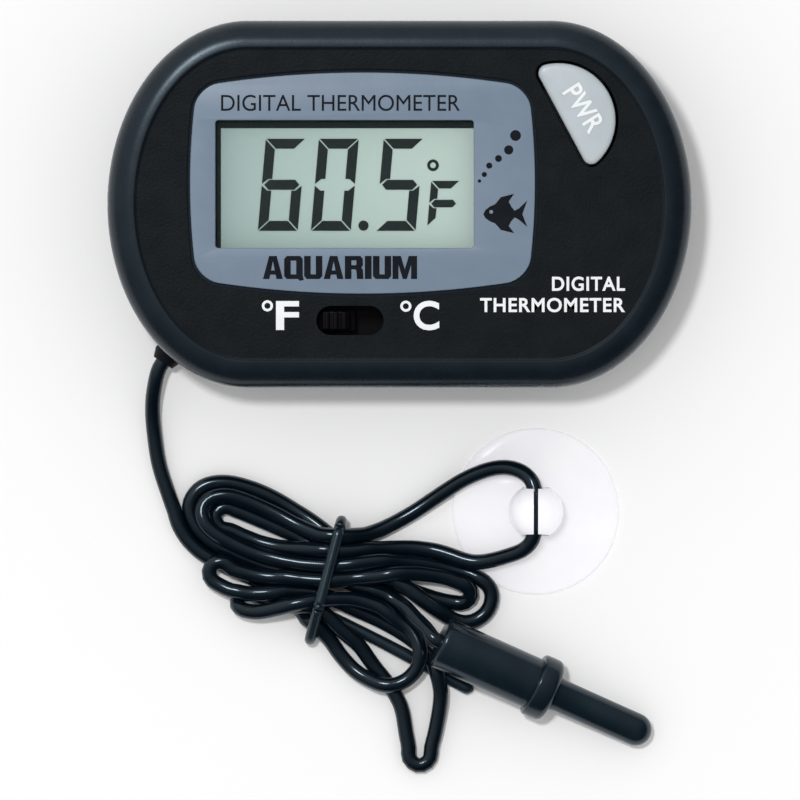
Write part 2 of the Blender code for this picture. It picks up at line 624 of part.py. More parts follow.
def probe():
    level = math.cos(PROBE_TILT)
    along = (math.cos(PROBE_HEADING) * level, math.sin(PROBE_HEADING) * level, math.sin(PROBE_TILT))
    bore = 1.1
    sleeve = (
        (SLEEVE_RADIUS, SLEEVE_END), (SLEEVE_RADIUS, 0.5), (SLEEVE_RADIUS - 0.5, 0.0), (bore, 0.0),
        (bore, SLEEVE_END),
    )
    start = SLEEVE_END + GAP
    collar = (
        (1.9, COLLAR_END), (2.8, COLLAR_END - 0.35), (3.2, COLLAR_END - 0.9),
        (COLLAR_RADIUS, COLLAR_END - 1.3), (COLLAR_RADIUS, start), (bore, start), (bore, COLLAR_END),
    )
    nose = [(TIP_RADIUS * math.sin(a), TIP_END - TIP_RADIUS * (1 - math.cos(a))) for a in
            (math.radians(angle) for angle in range(0, 91, 18))]
    start = COLLAR_END + GAP
    inside = 1.0
    tip = nose + [(TIP_RADIUS, start), (inside, start), (inside, TIP_END - 1.6), (0, TIP_END - 1.5)]
    angles = [math.radians(angle) for angle in range(0, 181, 30)]
    bead = [(0.7 * math.sin(a), 20.8 + 0.9 * math.cos(a)) for a in angles]
    bead[0] = (0, bead[0][1])
    bead[-1] = (0, bead[-1][1])
    settle(turned("probe_sleeve", sleeve, SLATE, PROBE_REAR, along))
    settle(turned("probe_collar", collar, SLATE, PROBE_REAR, along))
    settle(turned("probe_tip", tip, SLATE, PROBE_REAR, along, 24))
    settle(turned("thermistor_bead", bead, RUBBER, PROBE_REAR, along, 16))


clear_scene()
PARTS = collection("aquarium_thermometer")
CUTTERS = collection("cutters")
BLACK = material("black_plastic", (0.012, 0.015, 0.018), 0.4)
BLUE_GREY = material("blue_grey_plate", (0.24, 0.29, 0.37), 0.35)
PALE_BLUE = material("pale_blue_plastic", (0.48, 0.54, 0.57), 0.4)
CLEAR = material("clear_vinyl", (0.92, 0.92, 0.96), 0.08, transmission=0.9)
LCD_GLASS = material("lcd_glass", (0.6, 0.68, 0.62), 0.1, transmission=0.7)
REFLECTOR = material("lcd_reflector", (0.5, 0.6, 0.55), 0.5)
WHITE_PLASTIC = material("white_plastic", (0.75, 0.75, 0.73), 0.5)
BEIGE = material("beige_ceramic", (0.55, 0.42, 0.28), 0.5)
RUBBER = material("black_rubber", (0.015, 0.015, 0.017), 0.7)
STEEL = material("steel", (0.6, 0.6, 0.6), 0.3, metallic=1.0)
BOARD_GREEN = material("circuit_board", (0.02, 0.16, 0.06), 0.45)
RED_PLASTIC = material("red_insulation", (0.5, 0.02, 0.02), 0.45)
CORD_BLACK = material("cord_jacket", (0.01, 0.013, 0.02), 0.25)
SLATE = material("slate_plastic", (0.02, 0.03, 0.04), 0.45)
front_case()
rear_case()
faceplate()
display()
circuit_board()
power_button()
unit_switch()
battery()
screws()
cord_exit()
cord()
suction_cup()
probe()
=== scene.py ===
"""Looks of a digital aquarium thermometer with a wired probe and a suction cup.

Lengths and places are written in millimetres and become metres where a shape is made.
"""

import math

import bmesh
import bpy
import numpy as np
from mathutils import Matrix, Vector


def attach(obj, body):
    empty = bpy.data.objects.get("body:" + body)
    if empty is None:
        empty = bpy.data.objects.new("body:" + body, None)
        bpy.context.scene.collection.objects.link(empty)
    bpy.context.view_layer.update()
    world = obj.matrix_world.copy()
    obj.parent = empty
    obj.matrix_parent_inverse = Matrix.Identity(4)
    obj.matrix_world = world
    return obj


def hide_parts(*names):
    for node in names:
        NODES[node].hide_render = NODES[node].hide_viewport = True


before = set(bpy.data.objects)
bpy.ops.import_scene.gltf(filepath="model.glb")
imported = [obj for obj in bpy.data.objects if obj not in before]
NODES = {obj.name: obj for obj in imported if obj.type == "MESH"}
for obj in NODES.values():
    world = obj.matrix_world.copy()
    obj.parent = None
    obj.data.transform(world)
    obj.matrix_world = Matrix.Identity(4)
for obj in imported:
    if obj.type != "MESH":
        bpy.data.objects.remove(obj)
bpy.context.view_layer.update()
MM = 0.001

# Camera, straight above the object.
VIEW_CENTRE = (0.05, -20.1)
VIEW_WIDTH = 82.05
FACE_HEIGHT = 14.8
CAMERA_HEIGHT = 2000.0
SENSOR = 36.0

# Cord, tie, cup and probe.
CORD_DIAMETER = 1.6
CORD_RADIUS = CORD_DIAMETER / 2
TIE_RADIUS = 0.575
EXIT_POINT = Vector((-23.85, -15.41, 3.6))
EXIT_DIRECTION = Vector((-0.55, -0.835, 0.0))
CUP_CENTRE = (14.05, -31.6)
CUP_HOLE_HEIGHT = 4.6
CUP_HOLE_RADIUS = 1.2
# Points (radius, height) down the top of the skirt, from the nub to the rim.
CUP_SKIRT = (
    (2.62, 2.68), (3.1, 2.48), (4.0, 2.2), (5.0, 1.83), (6.0, 1.45), (7.0, 1.02), (7.8, 0.74),
    (8.3, 0.56), (8.6, 0.5),
)
CUP_SLIT = 0.46
BORE_FLARE = 0.7
NUB_RADIUS = 2.95
NUB_FOOT = 2.6
PROBE_REAR = Vector((4.1, -45.0, 5.0))
PROBE_HEADING = math.radians(-24.2)
PROBE_TILT = math.radians(-7.8)
PROBE_ALONG = Vector((
    math.cos(PROBE_HEADING) * math.cos(PROBE_TILT),
    math.sin(PROBE_HEADING) * math.cos(PROBE_TILT),
    math.sin(PROBE_TILT),
))
SLEEVE_RADIUS = 2.7
SLEEVE_LENGTH = 10.75
TIP_RADIUS = 1.7
TIP_END = 24.1
BUTTON_TURN = math.radians(28.2)
BUTTON_CENTRE = (16.3, 8.6)
PLATE_CENTRE = (-3.8, 2.15)
PLATE_TOP = 14.9
LCD_CENTRE = (-5.64, 2.05)
WINDOW_SIZE = (26.5, 13.1)
WINDOW_CORNER = 0.3
SWITCH_CENTRE = (-5.08, -11.95)
TIE_TOP = np.array((-6.18, -33.3))
TIE_LINE = np.array((-0.2562, -0.9666))
TIE_TAIL = ((-8.2, -42.0, 0.6), (-4.3, -43.85, 0.6), (1.55, -46.9, 0.6), (7.6, -50.1, 0.6))

# How the cord settles: lengths in millimetres, and shares of each step's correction.
CORD_SPACING = 0.55
SETTLING_ROUNDS = 900
TIGHTEST_BEND = 1.2
FALL_PER_ROUND = 0.02
PULL_TO_ROUTE = 0.04
SMOOTHING = np.array((0.12, 0.12, 0.3))
WIDE_SMOOTHING = np.array((0.06, 0.06, 0.0))
SLOPE_FACTOR = 1.14
SMALL = 1e-6

# The cord's way from the housing to the probe. Each point is (x, y, height), where the
# height only says what lies over what: the cord settles under its own weight afterwards.
LEAD = (
    (-25.15, -18.1, 3.3), (-25.45, -19.9, 2.5), (-25.5, -21.6, 1.5), (-25.35, -23.4, 0.9),
    (-24.9, -26.5, 0.8), (-23.96, -29.4, 0.8), (-22.7, -32.4, 0.8), (-21.4, -34.5, 0.8),
    (-19.9, -35.8, 0.8), (-18.0, -36.8, 0.8), (-16.0, -37.8, 0.8), (-14.0, -39.0, 0.8),
    (-12.0, -40.2, 0.8), (-10.2, -41.7, 0.8), (-8.75, -42.9, 2.0), (-7.5, -44.2, 1.6),
)
RIGHT_4 = (
    (-5.85, -46.7, 0.9), (-4.0, -48.5, 1.6), (-1.27, -49.6, 2.6), (0.93, -48.9, 2.4),
    (2.2, -47.1, 2.8), (2.1, -45.2, 3.0), (1.1, -43.4, 3.4), (-1.3, -41.6, 3.4),
    (-4.4, -40.7, 3.4), (-6.9, -40.65, 4.4), (-8.2, -40.75, 4.6),
)
LEFT_5 = (
    (-10.7, -41.15, 3.9), (-13.2, -41.75, 2.8), (-15.2, -41.95, 2.6), (-16.6, -41.3, 2.2),
    (-16.7, -40.5, 1.3), (-15.4, -40.2, 0.8), (-13.0, -40.9, 2.2), (-10.9, -41.3, 2.4),
    (-8.5, -41.8, 2.6),
)
RIGHT_5 = (
    (-6.6, -43.5, 1.6), (-4.4, -45.2, 0.8), (-2.7, -47.5, 0.8), (-0.9, -49.8, 0.8),
    (0.2, -51.8, 0.8), (0.62, -54.0, 0.8), (0.98, -56.1, 0.8), (1.12, -57.0, 0.8),
    (1.4, -57.7, 0.8), (2.07, -58.05, 0.8), (2.74, -57.7, 0.8), (3.04, -57.0, 0.8),
    (3.3, -55.9, 0.8), (3.9, -53.4, 0.8), (4.3, -50.7, 0.8), (4.1, -49.2, 0.8),
    (3.5, -47.3, 0.9), (2.2, -45.6, 0.9), (0.4, -44.2, 0.8),
    (-1.9, -42.9, 0.8), (-4.6, -41.7, 1.2), (-7.9, -40.2, 2.2),
)
LEFT_4 = (
    (-10.2, -39.8, 2.4), (-12.9, -40.1, 2.6), (-16.1, -40.1, 2.6), (-18.1, -39.5, 2.5),
    (-19.3, -38.6, 2.4), (-19.7, -37.6, 2.4), (-19.2, -36.8, 2.4), (-18.2, -37.05, 2.4),
    (-16.8, -37.75, 3.0), (-13.8, -38.45, 3.0), (-10.5, -38.6, 3.6), (-7.7, -38.45, 4.8),
)
RIGHT_3 = (
    (-4.65, -38.1, 4.0), (-2.0, -37.95, 3.8), (1.14, -37.87, 3.2), (4.28, -38.27, 2.6),
    (6.32, -38.97, 2.4), (7.45, -39.9, 2.2), (7.0, -40.85, 1.5), (5.6, -41.0, 0.9),
    (4.0, -40.7, 0.8), (2.2, -40.1, 0.8), (0.4, -39.4, 0.8), (-1.5, -38.6, 0.8),
    (-4.0, -37.6, 1.2), (-7.3, -36.2, 2.2),
)
LEFT_3 = (
    (-9.2, -34.9, 2.2), (-11.0, -33.9, 1.8), (-13.1, -33.0, 1.6), (-15.2, -32.1, 1.6),
    (-17.2, -31.3, 1.6), (-18.8, -31.3, 1.6), (-19.2, -32.3, 1.6), (-18.2, -33.1, 1.8),
    (-16.7, -33.8, 2.0), (-14.6, -34.75, 2.4), (-12.05, -35.4, 3.0), (-9.4, -35.65, 4.2),
    (-7.2, -35.75, 4.8),
)
RIGHT_1_BACK = (
    (-5.0, -35.7, 4.6), (-2.0, -35.5, 3.8), (1.14, -35.4, 3.4), (3.2, -35.68, 3.6),
    (5.1, -36.23, 4.2), (6.8, -36.8, 4.8), (8.2, -36.93, 5.0), (9.8, -36.65, 4.8),
    (11.3, -36.2, 4.6), (12.7, -35.7, 4.6), (13.65, -34.85, 4.6), (14.02, -33.6, 4.6),
)
IN_CUP = ((14.05, -32.5, 4.6), (14.05, -30.7, 4.6))
RIGHT_1_OUT = (
    (14.02, -29.6, 4.6), (13.65, -28.35, 4.55), (12.55, -27.4, 4.1), (10.9, -27.0, 3.2),
    (9.0, -27.3, 2.2),
    (6.64, -28.3, 1.4), (4.28, -29.8, 1.0), (1.14, -31.9, 1.0), (-2.0, -33.55, 1.8),
    (-4.5, -34.35, 3.4), (-7.0, -34.5, 4.6),
)
LEFT_2 = (
    (-8.9, -33.85, 4.4), (-11.0, -32.8, 3.6), (-13.1, -31.6, 3.0), (-16.26, -30.3, 2.6),
    (-18.7, -29.95, 2.6), (-20.2, -30.7, 2.6), (-20.55, -32.0, 2.6), (-19.9, -33.2, 2.8),
    (-18.3, -34.35, 3.2), (-15.13, -35.85, 3.6), (-12.05, -36.6, 3.8), (-9.6, -36.9, 4.4),
    (-7.5, -37.1, 4.8),
)
RIGHT_2 = (
    (-4.5, -37.05, 4.0), (-1.25, -36.9, 3.4), (1.93, -36.95, 3.0), (4.28, -37.25, 2.8),
    (6.63, -37.8, 2.6), (8.5, -38.6, 2.4), (9.4, -39.6, 2.0), (9.55, -40.7, 1.4),
    (9.1, -41.9, 0.9), (8.0, -42.8, 0.8), (6.6, -43.1, 0.8), (5.2, -42.6, 1.4),
    (4.0, -41.8, 2.4), (2.7, -40.9, 2.8), (1.2, -39.8, 2.4), (-0.6, -38.6, 1.6),
    (-3.0, -37.2, 0.9), (-5.0, -35.8, 1.4), (-6.6, -34.6, 2.2),
)
LEFT_1 = (
    (-8.4, -33.1, 1.6), (-10.2, -31.9, 1.0), (-13.3, -30.15, 0.9), (-16.4, -28.95, 0.9),
    (-18.8, -28.65, 1.2), (-20.7, -29.3, 1.8), (-21.75, -30.9, 2.3), (-21.55, -32.8, 2.5),
    (-20.2, -34.6, 2.5), (-17.9, -36.05, 3.6), (-14.8, -37.15, 3.4), (-11.2, -37.8, 2.0),
    (-7.8, -38.0, 2.2),
)
TO_PROBE = (
    (-5.0, -38.9, 1.2), (-3.0, -39.3, 1.2), (-1.7, -40.0, 2.4), (-0.5, -41.1, 2.8),
    (1.6, -42.8, 3.6), (2.9, -43.9, 4.6),
)


# ---------------------------------------------------------------- materials

def shader(name, colour, roughness, **sockets):
    """A Principled material. Sockets are named with underscores for spaces."""
    made = bpy.data.materials.new(name)
    made.use_nodes = True
    core = made.node_tree.nodes["Principled BSDF"]
    core.inputs["Base Color"].default_value = (*colour, 1.0)
    core.inputs["Roughness"].default_value = roughness
    for socket, value in sockets.items():
        core.inputs[socket.replace("_", " ")].default_value = value
    return made


def node(tree, kind, **values):
    made = tree.nodes.new(kind)
    for key, value in values.items():
        made.inputs[key.replace("_", " ")].default_value = value
    return made


def object_coordinates(tree):
    return tree.nodes.new("ShaderNodeTexCoord").outputs["Object"]


def noise_over(tree, scale, detail):
    """The strength of a noise pattern that stays fixed to the piece."""
    made = node(tree, "ShaderNodeTexNoise", Scale=scale, Detail=detail)
    tree.links.new(object_coordinates(tree), made.inputs["Vector"])
    return made.outputs["Fac"]


def mottle(finish, dark, light, scale):
    """Slow changes of colour over the surface, between two shades."""
    tree = finish.node_tree
    ramp = tree.nodes.new("ShaderNodeValToRGB")
    ramp.color_ramp.elements[0].position = 0.35
    ramp.color_ramp.elements[1].position = 0.68
    ramp.color_ramp.elements[0].color = (*dark, 1.0)
    ramp.color_ramp.elements[1].color = (*light, 1.0)
    tree.links.new(noise_over(tree, scale, 4.0), ramp.inputs["Fac"])
    tree.links.new(ramp.outputs["Color"], tree.nodes["Principled BSDF"].inputs["Base Color"])
    return finish


def vary_gloss(finish, low, high, scale):
    """Smears and handling marks, as changes of roughness."""
    tree = finish.node_tree
    spread = node(tree, "ShaderNodeMapRange", From_Min=0.3, From_Max=0.7, To_Min=low, To_Max=high)
    tree.links.new(noise_over(tree, scale, 5.0), spread.inputs["Value"])
    tree.links.new(spread.outputs["Result"], tree.nodes["Principled BSDF"].inputs["Roughness"])
    return finish


def grain(finish, scale, depth, strength=0.5):
    """A fine moulded texture. The depth is in millimetres."""
    tree = finish.node_tree
    bump = node(tree, "ShaderNodeBump", Strength=strength, Distance=depth * MM)
    tree.links.new(noise_over(tree, scale, 2.0), bump.inputs["Height"])
    tree.links.new(bump.outputs["Normal"], tree.nodes["Principled BSDF"].inputs["Normal"])
    return finish


def plastic(name, dark, light, roughness, grain_scale, grain_depth, **sockets):
    """An opaque moulding that varies between two shades. The depth of its grain is in millimetres."""
    made = shader(name, light, roughness, **sockets)
    mottle(made, dark, light, 420.0)
    vary_gloss(made, roughness * 0.93, roughness * 1.08, 700.0)
    return grain(made, grain_scale, grain_depth)


# ---------------------------------------------------------------- shapes

def add_object(name, data):
    made = bpy.data.objects.new(name, data)
    bpy.context.scene.collection.objects.link(made)
    return made


def evaluated_mesh(holder):
    """The mesh that an object's curve or modifiers make."""
    bpy.context.view_layer.update()
    graph = bpy.context.evaluated_depsgraph_get()
    return bpy.data.meshes.new_from_object(holder.evaluated_get(graph))


def add_piece(name, mesh, finish, body="housing", slot=None, replaces=()):
    piece = add_object(name, mesh)
    for one in finish if isinstance(finish, (list, tuple)) else [finish]:
        piece.data.materials.append(one)
    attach(piece, body)
    if replaces:
        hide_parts(*replaces)
    return piece


def spline_point(a, b, c, d, t):
    """Catmull-Rom: the point at t between b and c."""
    slope = (c - a) * t
    bend = (2 * a - 5 * b + 4 * c - d) * t**2
    twist = (3 * b - a - 3 * c + d) * t**3
    return 0.5 * (2 * b + slope + bend + twist)


def smooth_route(route, spacing):
    """Points at an even spacing along a smooth curve through the route's own points."""
    points = [np.array(point, float) for point in route]
    ends = [points[0], *points, points[-1]]
    dense = []
    for i in range(len(points) - 1):
        dense += [spline_point(*ends[i:i + 4], step / 16) for step in range(16)]
    dense = np.array(dense + [points[-1]])
    return evenly(dense, spacing)


def evenly(dense, spacing):
    steps = np.linalg.norm(np.diff(dense, axis=0), axis=1)
    lengths = np.concatenate([[0.0], np.cumsum(steps)])
    count = max(2, round(lengths[-1] / spacing)) + 1
    wanted = np.linspace(0.0, lengths[-1], count)
    return np.stack([np.interp(wanted, lengths, dense[:, k]) for k in range(3)], axis=1)


def curve_tube(name, points, radius, finish, radii=None, **where):
    """A round tube along points, as a curve object."""
    curve = bpy.data.curves.new(name, "CURVE")
    curve.dimensions = "3D"
    curve.bevel_depth = radius * MM
    curve.bevel_resolution = 5
    curve.use_fill_caps = True
    spline = curve.splines.new("POLY")
    spline.points.add(len(points) - 1)
    for i, (target, point) in enumerate(zip(spline.points, points)):
        target.co = (*[value * MM for value in point], 1.0)
        target.radius = 1.0 if radii is None else radii[i]
    spline.use_smooth = True
    return add_piece(name, curve, finish, **where)


# ---------------------------------------------------------------- the cord

def close_pairs(points, apart, reach):
    """Pairs of points nearer than reach that aren't neighbours along the cord."""
    gaps = points[:, None, :] - points[None, :, :]
    near = (gaps**2).sum(axis=2) < reach**2
    i, j = np.nonzero(np.triu(near, apart))
    return i, j


def capsule_push(points, start, end, reach):
    """Moves points out of a round bar to the given distance from its axis."""
    along = end - start
    share = np.clip(((points - start) @ along) / (along @ along), 0.0, 1.0)
    away = points - (start + share[:, None] * along)
    distance = np.linalg.norm(away, axis=1)
    inside = distance < reach
    scale = (reach / np.maximum(distance[inside], SMALL) - 1.0)[:, None]
    points[inside] += away[inside] * scale * 0.5


def lowest_centre(points):
    """How low the cord's centre can lie: on the floor, on the cup's sloping skirt, or in its bore."""
    from_cup = np.hypot(points[:, 0] - CUP_CENTRE[0], points[:, 1] - CUP_CENTRE[1])
    bore = (CUP_SKIRT[1][0], CUP_HOLE_HEIGHT - CUP_HOLE_RADIUS)
    radii, tops = zip(bore, *CUP_SKIRT[2:], (CUP_SKIRT[-1][0] + CORD_RADIUS, 0.0))
    under = np.interp(from_cup, radii, tops)
    return under + np.where(under > 0.0, SLOPE_FACTOR * CORD_RADIUS, CORD_RADIUS + 0.02)


def keep_round(points, free, spacing, radius):
    """Opens any bend that is tighter than the radius."""
    for k in (1, 2, 3):
        chord = 2 * radius * math.sin(k * spacing / radius)
        gap = points[2 * k:] - points[:-2 * k]
        distance = np.linalg.norm(gap, axis=1)
        short = np.clip(chord - distance, 0.0, None) / np.maximum(distance, SMALL)
        push = gap * short[:, None] * 0.25
        points[2 * k:] += push * free[2 * k:, None]
        points[:-2 * k] -= push * free[:-2 * k, None]


def settle_cord(points, held, bars, rounds):
    """The cord lies down on the floor, on the cup and on itself: it is pulled down, keeps its
    spacing and its smoothness, and two lengths of it stay a diameter apart."""
    target = points.copy()
    rest = np.linalg.norm(np.diff(points, axis=0), axis=1)
    spacing = rest.mean()
    apart = int(math.ceil(1.75 * CORD_DIAMETER / spacing))
    free = ~held
    for turn in range(rounds):
        if turn % 6 == 0:
            first, second = close_pairs(points, apart, CORD_DIAMETER + 0.8)
        late = turn / rounds
        points[free, 2] -= FALL_PER_ROUND * (1.0 - late)
        points[free, :2] += (target[free, :2] - points[free, :2]) * PULL_TO_ROUTE
        middle = (points[:-2] + points[2:]) / 2
        bend = middle - points[1:-1]
        inner = free[1:-1]
        points[1:-1][inner] += bend[inner] * SMOOTHING
        wide = (points[:-8] + points[8:]) / 2 - points[4:-4]
        wide = wide - (target[:-8] + target[8:]) / 2 + target[4:-4]
        inner = free[4:-4]
        points[4:-4][inner] += wide[inner] * WIDE_SMOOTHING
        for _ in range(2):
            step = points[1:] - points[:-1]
            length = np.linalg.norm(step, axis=1)
            fix = step * ((length - rest) / np.maximum(length, SMALL))[:, None] * 0.4
            points[:-1] += fix * free[:-1, None]
            points[1:] -= fix * free[1:, None]
        for _ in range(2):
            gap = points[first] - points[second]
            distance = np.linalg.norm(gap, axis=1)
            touching = distance < CORD_DIAMETER
            a, b = first[touching], second[touching]
            over = (CORD_DIAMETER - distance[touching]) / np.maximum(distance[touching], SMALL)
            push = gap[touching] * over[:, None] * 0.25
            shift = np.zeros_like(points)
            times = np.zeros(len(points))
            np.add.at(shift, a, push)
            np.add.at(shift, b, -push)
            np.add.at(times, a, 1.0)
            np.add.at(times, b, 1.0)
            shift /= np.maximum(times / 2.0, 1.0)[:, None]
            points += shift * free[:, None]
        keep_round(points, free, spacing, TIGHTEST_BEND)
        for last, *bar in bars:
            capsule_push(points[:last], *bar)
        points[free, 2] = np.maximum(points[free, 2], lowest_centre(points[free]))
        points[held] = target[held]
    return points


def cord_route():
    start = [tuple(EXIT_POINT + EXIT_DIRECTION * reach) for reach in (-1.2, 0.0, 1.6)]
    end = [tuple(PROBE_REAR + PROBE_ALONG * reach) for reach in (-0.6, 1.2)]
    return [
        *start, *LEAD, *RIGHT_4, *LEFT_5, *RIGHT_5, *LEFT_4, *RIGHT_3, *LEFT_3,
        *RIGHT_1_BACK, *IN_CUP, *RIGHT_1_OUT, *LEFT_2, *RIGHT_2, *LEFT_1, *TO_PROBE, *end,
    ]


def settled_cord():
    points = smooth_route(cord_route(), CORD_SPACING)
    count = len(points)
    held = np.zeros(count, bool)
    held[:8] = True
    held[-5:] = True
    aside, along = np.abs(points[:, :2] - CUP_CENTRE).T
    held |= (aside < 0.3) & (along < 1.6) & (points[:, 2] > 4.0)
    reach = CORD_RADIUS + TIE_RADIUS
    tie = (count, np.array((-6.0, -32.5, 0.6)), np.array((-9.1, -44.3, 0.6)), reach)
    tail = (count, np.array(TIE_TAIL[0]), np.array(TIE_TAIL[-1]), reach)
    rear = np.array(PROBE_REAR + PROBE_ALONG * SLEEVE_RADIUS)
    front = np.array(PROBE_REAR + PROBE_ALONG * (SLEEVE_LENGTH - 0.15))
    sleeve = (count - 30, rear, front, SLEEVE_RADIUS + CORD_RADIUS)
    return settle_cord(points, held, (tie, tail, sleeve), SETTLING_ROUNDS)


def tie_loop(points):
    """The tie's centreline: round the cords it crosses, then along the floor to its end."""
    from_top = points[:, :2] - TIE_TOP
    along = from_top @ TIE_LINE
    aside = from_top @ np.array((-TIE_LINE[1], TIE_LINE[0]))
    crossing = (np.abs(aside) < 0.9) & (along > -1.0) & (along < 12.0)
    places = np.stack([along[crossing], points[crossing, 2]], axis=1)
    reach = CORD_RADIUS + TIE_RADIUS
    loop = []
    for step in range(40):
        angle = math.radians(-70 - step * 8.0)
        facing = np.array((math.cos(angle), math.sin(angle)))
        s, z = places[np.argmax(places @ facing)] + facing * reach
        x, y = TIE_TOP + TIE_LINE * s
        loop.append((x, y, max(z, TIE_RADIUS + 0.02)))
    return loop


def tie_points(points):
    loop = tie_loop(points)
    lowest = max(range(8), key=lambda i: -loop[i][1])
    route = list(reversed(TIE_TAIL)) + [(-8.9, -42.4, 0.6)]
    around = [place for i, place in enumerate(loop) if i >= lowest]
    return smooth_route(route + around[::2], 0.35)


# ---------------------------------------------------------------- outlines

def housing_outline(inset, count=144):
    reach, height = 14.5 - inset, 18.85 - inset
    points = []
    for i in range(count):
        angle = (i + 0.5) * 2 * math.pi / count
        side = math.copysign(15.5, math.cos(angle))
        points.append((side + reach * math.cos(angle), height * math.sin(angle)))
    return points


def rounded_rectangle(width, height, radius, steps=8):
    points = []
    for quarter in range(4):
        x = (width / 2 - radius) * (1 if quarter in (0, 3) else -1)
        y = (height / 2 - radius) * (1 if quarter < 2 else -1)
        for step in range(steps + 1):
            angle = (quarter + step / steps) * math.pi / 2
            points.append((x + radius * math.cos(angle), y + radius * math.sin(angle)))
    return points


def subdivided(loop, longest):
    points = []
    for (x, y), (next_x, next_y) in zip(loop, loop[1:] + loop[:1]):
        pieces = max(1, math.ceil(math.hypot(next_x - x, next_y - y) / longest))
        for i in range(pieces):
            points.append((x + (next_x - x) * i / pieces, y + (next_y - y) * i / pieces))
    return points


def plate_outline(grow=0.0):
    """A rounded rectangle whose four sides bow outward."""
    half_x, half_y = 17.0 + grow, 9.9 + grow
    points = []
    for x, y in subdivided(rounded_rectangle(2 * half_x, 2 * half_y, 2.2 + grow), 1.2):
        bow_x = 1 + 0.041 * (1 - (y / half_y) ** 2)
        bow_y = 1 + 0.146 * (1 - (x / half_x) ** 2)
        points.append((x * bow_x, y * bow_y))
    return points


def stadium(length, width, steps=16):
    points = []
    for side in (1, -1):
        for step in range(steps + 1):
            angle = math.pi * (step / steps - 0.5) + (0 if side > 0 else math.pi)
            x = side * (length - width) / 2 + width / 2 * math.cos(angle)
            points.append((x, width / 2 * math.sin(angle)))
    return points


def button_outline(grow=0.0):
    """A circle cut by a chord, with both corners rounded, its flat side facing the display."""
    radius, chord, corner = 5.85 + grow, 0.36 - grow, 0.9 + grow
    corner_x = chord + corner
    corner_y = math.sqrt((radius - corner) ** 2 - corner_x**2)
    sweep = math.atan2(corner_y, corner_x)
    points = []
    for i in range(48):
        angle = -sweep + 2 * sweep * i / 47
        points.append((radius * math.cos(angle), radius * math.sin(angle)))
    for side in (1, -1):
        for i in range(1, 11):
            share = i / 10 if side > 0 else 1 - (i - 1) / 10
            angle = side * (sweep + (math.pi - sweep) * share)
            x = corner_x + corner * math.cos(angle)
            points.append((x, side * corner_y + corner * math.sin(angle)))
    points.pop()
    cos, sin = math.cos(BUTTON_TURN), math.sin(BUTTON_TURN)
    return [(x * cos - y * sin, x * sin + y * cos) for x, y in points]


def shifted(loop, centre):
    return [(x + centre[0], y + centre[1]) for x, y in loop]


def moved(mesh, centre):
    mesh.transform(Matrix.Translation((centre[0] * MM, centre[1] * MM, 0)))
    return mesh


# ---------------------------------------------------------------- solids

def loft(name, levels, mark=None):
    """A closed skin over outlines of equal count, each (outline, height), from low to high.
    From level mark upward it takes its second material."""
    shape = bmesh.new()
    rows = []
    for outline, height in levels:
        rows.append([shape.verts.new((x * MM, y * MM, height * MM)) for x, y in outline])
    for k, (low, high) in enumerate(zip(rows, rows[1:])):
        for i in range(len(low)):
            j = (i + 1) % len(low)
            face = shape.faces.new((low[i], low[j], high[j], high[i]))
            if mark is not None and k >= mark:
                face.material_index = 1
    shape.faces.new(list(reversed(rows[0])))
    top = shape.faces.new(rows[-1])
    if mark is not None:
        top.material_index = 1
    return finished_mesh(shape, name)


def finished_mesh(shape, name, sharp=35):
    mesh = bpy.data.meshes.new(name)
    bmesh.ops.recalc_face_normals(shape, faces=shape.faces)
    shape.to_mesh(mesh)
    shape.free()
    mesh.shade_smooth()
    mesh.set_sharp_from_angle(angle=math.radians(sharp))
    return mesh


def slab(name, loops, low, high, bevel=0.0):
    """Outlines in the XY plane, the first with the others cut out of it, as a rounded slab."""
    curve = bpy.data.curves.new(name, "CURVE")
    curve.dimensions = "2D"
    curve.fill_mode = "BOTH"
    curve.extrude = ((high - low) / 2 - bevel) * MM
    curve.bevel_depth = bevel * MM
    curve.bevel_resolution = 3
    curve.offset = -bevel * MM
    for loop in loops:
        spline = curve.splines.new("POLY")
        spline.points.add(len(loop) - 1)
        spline.use_cyclic_u = True
        for point, (x, y) in zip(spline.points, loop):
            point.co = (x * MM, y * MM, 0.0, 1.0)
    return curve_mesh(name, curve, (low + high) / 2)


def curve_mesh(name, curve, height):
    """The curve's mesh, welded, at a height."""
    holder = add_object(name + "_curve", curve)
    mesh = evaluated_mesh(holder)
    bpy.data.objects.remove(holder)
    shape = bmesh.new()
    shape.from_mesh(mesh)
    bmesh.ops.remove_doubles(shape, verts=shape.verts, dist=1e-7)
    bmesh.ops.translate(shape, vec=(0, 0, height * MM), verts=shape.verts)
    return finished_mesh(shape, name)


def turned(name, profile, at=(0.0, 0.0, 0.0), along=(0, 0, 1), steps=96, sharp=35):
    """A profile of (radius, height) turned about its height axis, which then points along."""
    shape = bmesh.new()
    rings = []
    for radius, height in profile:
        if radius == 0:
            rings.append([shape.verts.new((0.0, 0.0, height * MM))])
            continue
        ring = []
        for i in range(steps):
            angle = 2 * math.pi * i / steps
            x, y = radius * math.cos(angle), radius * math.sin(angle)
            ring.append(shape.verts.new((x * MM, y * MM, height * MM)))
        rings.append(ring)
    pairs = list(zip(rings, rings[1:]))
    if profile[0][0] != 0:
        pairs.append((rings[-1], rings[0]))
    for a, b in pairs:
        for i in range(steps):
            j = (i + 1) % steps
            corners = [a[i % len(a)], a[j % len(a)], b[j % len(b)], b[i % len(b)]]
            shape.faces.new(list(dict.fromkeys(corners)))
    turn = Vector((0, 0, 1)).rotation_difference(Vector(along)).to_matrix().to_4x4()
    move = Matrix.Translation(Vector(at) * MM) @ turn
    bmesh.ops.transform(shape, matrix=move, verts=shape.verts)
    return finished_mesh(shape, name, sharp)


